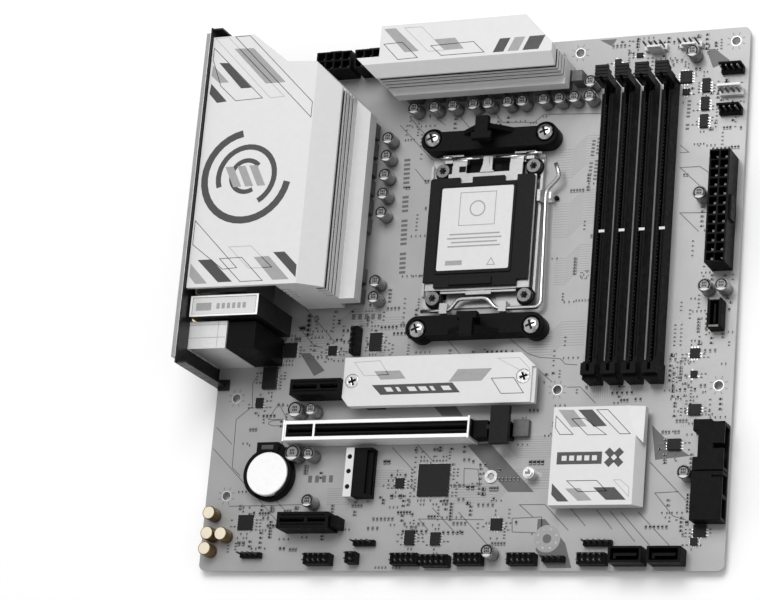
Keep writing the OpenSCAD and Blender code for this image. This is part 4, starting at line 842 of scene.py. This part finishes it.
# The arms of every cross recess, and the middle and half spacing of the socket's four screws.
CROSS_ARMS = [math.radians(a) for a in (20, 110)]
SOCKET_X, SOCKET_Y = 127, 152.2
SOCKET_HALF_X, SOCKET_HALF_Y = 21.75, 30.15
SOCKET_CORNERS = [(SOCKET_X + i * SOCKET_HALF_X, SOCKET_Y + j * SOCKET_HALF_Y)
                  for i in (-1, 1) for j in (-1, 1)]
PAN_HEAD = [(1.6, -1.2), (1.6, 6.95), (3.9, 7.0), (4.0, 7.4), (4.0, 8.3), (3.75, 8.9), (3.2, 9.4),
            (2.3, 9.75), (1.2, 9.95), (0.05, 10)]


def domed_heads():
    """Domed pan heads with a rounded rim, standing in for the plain cooler screws."""
    p = Piece()
    arm = [2.3 * (i / 6 - 1) for i in range(13)]
    for x in (100, 154):
        for y in (107.2, 197.2):
            p.turned(x, y, PAN_HEAD, 40, 0)
            # dark strips along the arms of the cross recess: painted shade
            for a in CROSS_ARMS:
                c, d = math.cos(a), math.sin(a)
                p.rings([[(x + c * t - d * k, y + d * t + c * k, 10.04 - 0.05 * t * t) for t in arm]
                         for k in (0.5, -0.5)], 1, False, False, (False, False))
    heads = p.make("cooler_screw_heads", "board", ["pan_head", "black_and_painted_shade"])
    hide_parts("cooler_screws")


domed_heads()


def screw_crosses():
    """Painted shade: dark floors in the recesses of the storage screws and the socket screws."""
    p = Piece()
    half_length, half_width = 1.86, 0.4588
    for x, y, z in ((71.1, 84, 8.0), (152.3, 84, 8.0)):
        # the second arm a hair higher, so the two do not share a face
        for a, top in zip(CROSS_ARMS, (0.05, 0.06)):
            c, d = math.cos(a) * half_length, math.sin(a) * half_length
            e, f = math.sin(a) * half_width, math.cos(a) * half_width
            p.prism([(x + i * c - j * e, y + i * d + j * f)
                     for i, j in ((-1, -1), (1, -1), (1, 1), (-1, 1))], z, z + top)
    for x, y in SOCKET_CORNERS:
        p.turned(x, y, [(1.2, 5.01), (1.2, 5.04)], 12, 0, False)
    p.make("screw_recess_shade", "board", ["black_and_painted_shade"])


screw_crosses()


def rod(p, x0, x1, y, z, radius, m):
    """Round bar along x."""
    section = [(y + radius * math.cos(i * math.pi / 8), z + radius * math.sin(i * math.pi / 8))
               for i in range(16)]
    p.rings([[(x, a, b) for a, b in section] for x in (x0, x1)], m, True)


def socket_details():
    """Hinge bars, the middle tongue and the plate's folded front lip, with painted shade: dark
    openings beside the middle tongue and at the front corner, dark rings round the socket screws, a
    dark line along the lip and dark windows on the plate.
    """
    p = Piece()
    # dark sheets in the openings beside the tongue and at the front corner: painted shade
    p.box(111, 179, 1.21, 143, 189.1, 1.26, 0)
    p.box(101, 122.6, 1.21, 110, 125.2, 1.26, 0)
    for x0, x1 in ((103.2, 109.2), (144.8, 152.4)):
        rod(p, x0, x1, 188.6, 5.7, 0.7, 1)
    # a dark ring round each socket screw: painted shadow
    for x, y in SOCKET_CORNERS:
        p.ring(x, y, 3.25, 4.3, 3.42, 3.6, 32, 0)
    p.make("socket_frame_details", "board", ["black_and_painted_shade", "wire"])
    q = Piece()
    for x0, x1 in ((109.5, 122.6), (130.2, 144.5)):
        rod(q, x0, x1, 187.8, 5.1, 0.7, 1)
    q.prism([(123.4, 180.6), (130.4, 180.6), (128.4, 182.4), (127.6, 184.4), (127.4, 188),
             (124.8, 188), (124.6, 184.4), (124.0, 182.4)], 6.0, 6.5, 2)
    q.box(108.8, 124.1, 4.9, 144.6, 125.6, 5.9, 2)
    # dark line along the lip: painted shade
    q.box(108.8, 124.9, 5.9, 144.6, 125.3, 6.0, 0)
    # dark windows on the plate: painted shade
    for x0 in (113.2, 130.4):
        q.box(x0, 181.2, 6.0, x0 + 3.2, 184.0, 6.05, 0)
    q.make("load_plate_details", "plate", ["black_and_painted_shade", "wire", "steel"])


socket_details()


def tube(p, path, radius, bend, m):
    """Round wire along a path, its corners rounded."""
    pts = [Vector(path[0])]
    for a, b, c in zip(path, path[1:], path[2:]):
        a, b, c = Vector(a), Vector(b), Vector(c)
        reach = min(bend, (a - b).length * 0.45, (c - b).length * 0.45)
        start, end = b + (a - b).normalized() * reach, b + (c - b).normalized() * reach
        for i in range(6):
            t = i / 5
            pts.append(start * (1 - t) ** 2 + b * 2 * t * (1 - t) + end * t ** 2)
    pts.append(Vector(path[-1]))
    around = [k * 2 * math.pi / 14 for k in range(14)]
    side = Vector((0, 0, 1))
    loops = []
    for i, q in enumerate(pts):
        ahead = (pts[min(i + 1, len(pts) - 1)] - pts[max(i - 1, 0)]).normalized()
        side = (side - ahead * side.dot(ahead)).normalized()
        other = ahead.cross(side)
        loops.append([tuple(q + side * radius * math.cos(a) + other * radius * math.sin(a))
                      for a in around])
    p.rings(loops, m, True)


LEVER = [(99.7, 116.6, 4.5), (113.5, 116.6, 4.5), (117.2, 121.8, 4.5), (130.8, 121.8, 4.5),
         (135.4, 116.6, 4.5), (154.6, 116.6, 4.5), (156.3, 118.6, 4.5), (155, 170.6, 4.5),
         (161.6, 176.6, 5.9), (159.6, 182.6, 6.7)]
WIRE_RADIUS, WIRE_BEND = 0.95, 2.2


def lever_wire():
    """The load lever's wire, and the tab on the frame that it snaps behind."""
    p = Piece()
    tube(p, LEVER, WIRE_RADIUS, WIRE_BEND, 0)
    wire = p.make("lever_wire", "lever", ["wire"])
    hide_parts("load_lever")
    q = Piece()
    q.box(152.5, 166.4, 0.3, 158.0, 169.6, 1.1, 0)
    q.prism([(157.1, 166.4), (158.0, 166.4), (158.0, 169.6), (157.1, 169.6)], 1.1, 5.9, 0)
    q.turned(159.0, 168.2, [(0.9, 0.1), (1.0, 0.4), (1.0, 1.6), (0.7, 2.0)], 16, 1)
    q.make("lever_catch", "board", ["bright_steel", "black_and_painted_shade"], bevel=0.15)


lever_wire()


def pale_headers():
    """The two fan headers and the middle lighting header are moulded in a pale plastic."""
    p = Piece()
    for x in (196.4, 212.4):
        p.box(x - 0.04, 235.16, 0, x + 10.2, 237.78, 2.55, 0)
        p.box(x + 2.46, 234.36, 0, x + 8.64, 235.2, 8.04, 0)
    p.box(231.96, 211.16, 0, 242.2, 213.78, 2.55, 0)
    p.box(231.96, 213.72, 0, 242.2, 214.74, 7.44, 0)
    p.make("pale_headers", "board", ["button"])


pale_headers()


CONTACT_HALF = 0.1
MEMORY_SLOT_X, MEMORY_PITCH = 182.8, 9.15


def slot_contacts():
    """Contact rows inside the card grooves, and painted highlights on the key bars of the memory
    slots.
    """
    p = Piece()
    for n in range(4):
        x = MEMORY_SLOT_X + MEMORY_PITCH * n
        for k in range(72):
            y = 86.5 + k * 1.7
            for c in (x - 0.62, x + 0.62):
                p.box(c - CONTACT_HALF, y, 4.2, c + CONTACT_HALF, y + 0.45, 8.7, 0)
        # pale mark on the key bar: painted highlight
        p.box(x - 0.1, 148.0, 9.5, x + 2.5, 149.2, 9.56, 1)
    for y, x_end in ((20.4, 65.2), (61.04, 129.2), (81.36, 65.0)):
        x = 43.6
        while x < x_end:
            in_key = 54.4 < x < 57.2
            if not in_key:
                for c in (y - 0.78, y + 0.78):
                    p.box(x, c - CONTACT_HALF, 4, x + 0.5, c + CONTACT_HALF, 10.2, 0)
            x += 1.0
    p.make("slot_contacts", "board", ["contact", "label"])


slot_contacts()

CAP_LABEL_TOP = 8.3
JACK_TOP = 31.6
MODULE_TOP = 35.6


def cap_label_marks():
    """Plain bars in place of lettering on the cap's label."""
    p = Piece()
    z, top = CAP_LABEL_TOP, CAP_LABEL_TOP + INK
    for y, w in ((150.5, 24), (148.6, 26), (146.7, 22), (144.8, 25)):
        p.box(124 - w / 2, y, z, 124 + w / 2, y + 0.7, top)
    p.outline([(116, 155), (116, 170.5), (133, 170.5), (133, 155)], 0.35, z, top)
    p.ring(124.5, 162.8, 3.2, 3.8, z, top, 24)
    p.box(111, 136.4, z, 119, 138.6, top)
    p.outline([(131, 136), (134.6, 136), (132.8, 139.2)], 0.4, z, top)
    p.make("cap_label_marks", "cap", ["print_mid"])


def port_tops():
    """Seams on the audio jack stack, the wireless module's label and rim, and painted shade in dark
    openings.
    """
    p = Piece()
    paper, ink, rim, dark = range(4)
    z = JACK_TOP
    for y in (99.4, 105.4):
        p.box(-2.2, y, z, 17.4, y + 0.22, z + 0.04, ink)
    p.box(13.4, 94.8, z, 13.6, 106.8, z + 0.04, ink)
    z = MODULE_TOP
    p.box(1.6, 109.2, z, 33.0, 117.0, z + 0.06, paper)
    p.box(3.4, 111, z + 0.06, 11, 114.6, z + 0.09, ink)
    for k in range(6):
        x = 13.6 + k * 2.6
        p.box(x, 111.6, z + 0.06, x + 1.6, 114.2, z + 0.09, ink)
    for x0, y0, x1, y1 in ((0.4, 108.3, 34.2, 109.1), (0.4, 117.2, 34.2, 118),
                           (0.4, 109.1, 1.4, 117.2), (33.2, 109.1, 34.2, 117.2)):
        p.box(x0, y0, z, x1, y1, z + 0.15, rim)
    # holes of the bright strip beside the lower storage connector, filled with dark plugs as
    # painted shade
    for y in (36.5, 43.5, 50.1):
        p.turned(72.1, y, [(1.1, 5.0), (1.1, 6.02)], 20, dark, False)
    # mouth of the front panel header, a dark sheet as painted shade
    p.box(235.4, 106.3, 1.5, 236.2, 114.7, 5.3, dark)
    p.make("wireless_label", "board", ["label", "print_mid", "bright_steel", "black_and_painted_shade"])


cap_label_marks()
port_tops()


# ------------------------------------------------------------------ stage, light and camera

# World brightness: a base level, less toward +x and more toward +y, so that facets and front
# walls read. Lamps: place, size in metres, power in watts; all of them face the object.
SKY_BASE, SKY_X, SKY_Y = 0.60, -0.24, 0.14
LAMPS = [
    ("key", (0.08, 0.60, 1.3), 0.8, 13),
    ("fill", (1.2, -0.3, 0.9), 0.9, 1.2),
    ("front", (-0.3, -1.2, 1.0), 0.9, 0.5),
]
FLOOR_HALF = 3
FLOOR_Z = -0.0002


def studio_floor():
    bm = bmesh.new()
    bmesh.ops.create_grid(bm, x_segments=2, y_segments=2, size=FLOOR_HALF)
    mesh = bpy.data.meshes.new("studio_floor")
    bm.to_mesh(mesh)
    bm.free()
    mesh.materials.append(M["floor"])
    floor = add_object("studio_floor", mesh)
    floor.location.z = FLOOR_Z


def studio_sky():
    world = bpy.data.worlds.new("studio")
    world.use_nodes = True
    sky = world.node_tree
    background = sky.nodes["Background"]
    background.inputs[0].default_value = (1, 1, 1, 1)

    def scale_and_add(factor):
        node = sky.nodes.new("ShaderNodeMath")
        node.operation = "MULTIPLY_ADD"
        node.inputs[1].default_value = factor
        return node

    coord = sky.nodes.new("ShaderNodeTexCoord")
    axes = sky.nodes.new("ShaderNodeSeparateXYZ")
    by_x = scale_and_add(SKY_X)
    by_y = scale_and_add(SKY_Y)
    by_y.inputs[2].default_value = SKY_BASE
    sky.links.new(coord.outputs["Generated"], axes.inputs[0])
    sky.links.new(axes.outputs[0], by_x.inputs[0])
    sky.links.new(axes.outputs[1], by_y.inputs[0])
    sky.links.new(by_y.outputs[0], by_x.inputs[2])
    sky.links.new(by_x.outputs[0], background.inputs[1])
    bpy.context.scene.world = world


def studio_lamps():
    for name, place, size, power in LAMPS:
        lamp = bpy.data.lights.new(name, "AREA")
        lamp.size = size
        lamp.energy = power
        ob = add_object(name, lamp)
        ob.location = place
        ob.rotation_mode = "QUATERNION"
        ob.rotation_quaternion = (-Vector(place)).to_track_quat("-Z", "Y")


studio_floor()
studio_sky()
studio_lamps()

CAMERA_AT = (567.36, -235.78, 1079.27)
CAMERA_RIGHT = (0.91759, 0.08545, -0.38822)
CAMERA_UP = (0.03842, 0.95299, 0.30057)
CAMERA_BACK = (0.39566, -0.29072, 0.87117)

cam = bpy.data.cameras.new("camera")
cam.lens = 130.14
cam.sensor_width = 36
cam.clip_start = 0.05
cam.clip_end = 20
eye = add_object("camera", cam)
eye.matrix_world = Matrix((CAMERA_RIGHT, CAMERA_UP, CAMERA_BACK)).transposed().to_4x4()
eye.location = at(*CAMERA_AT)
bpy.context.scene.camera = eye
bpy.context.scene.view_settings.view_transform = "Standard"
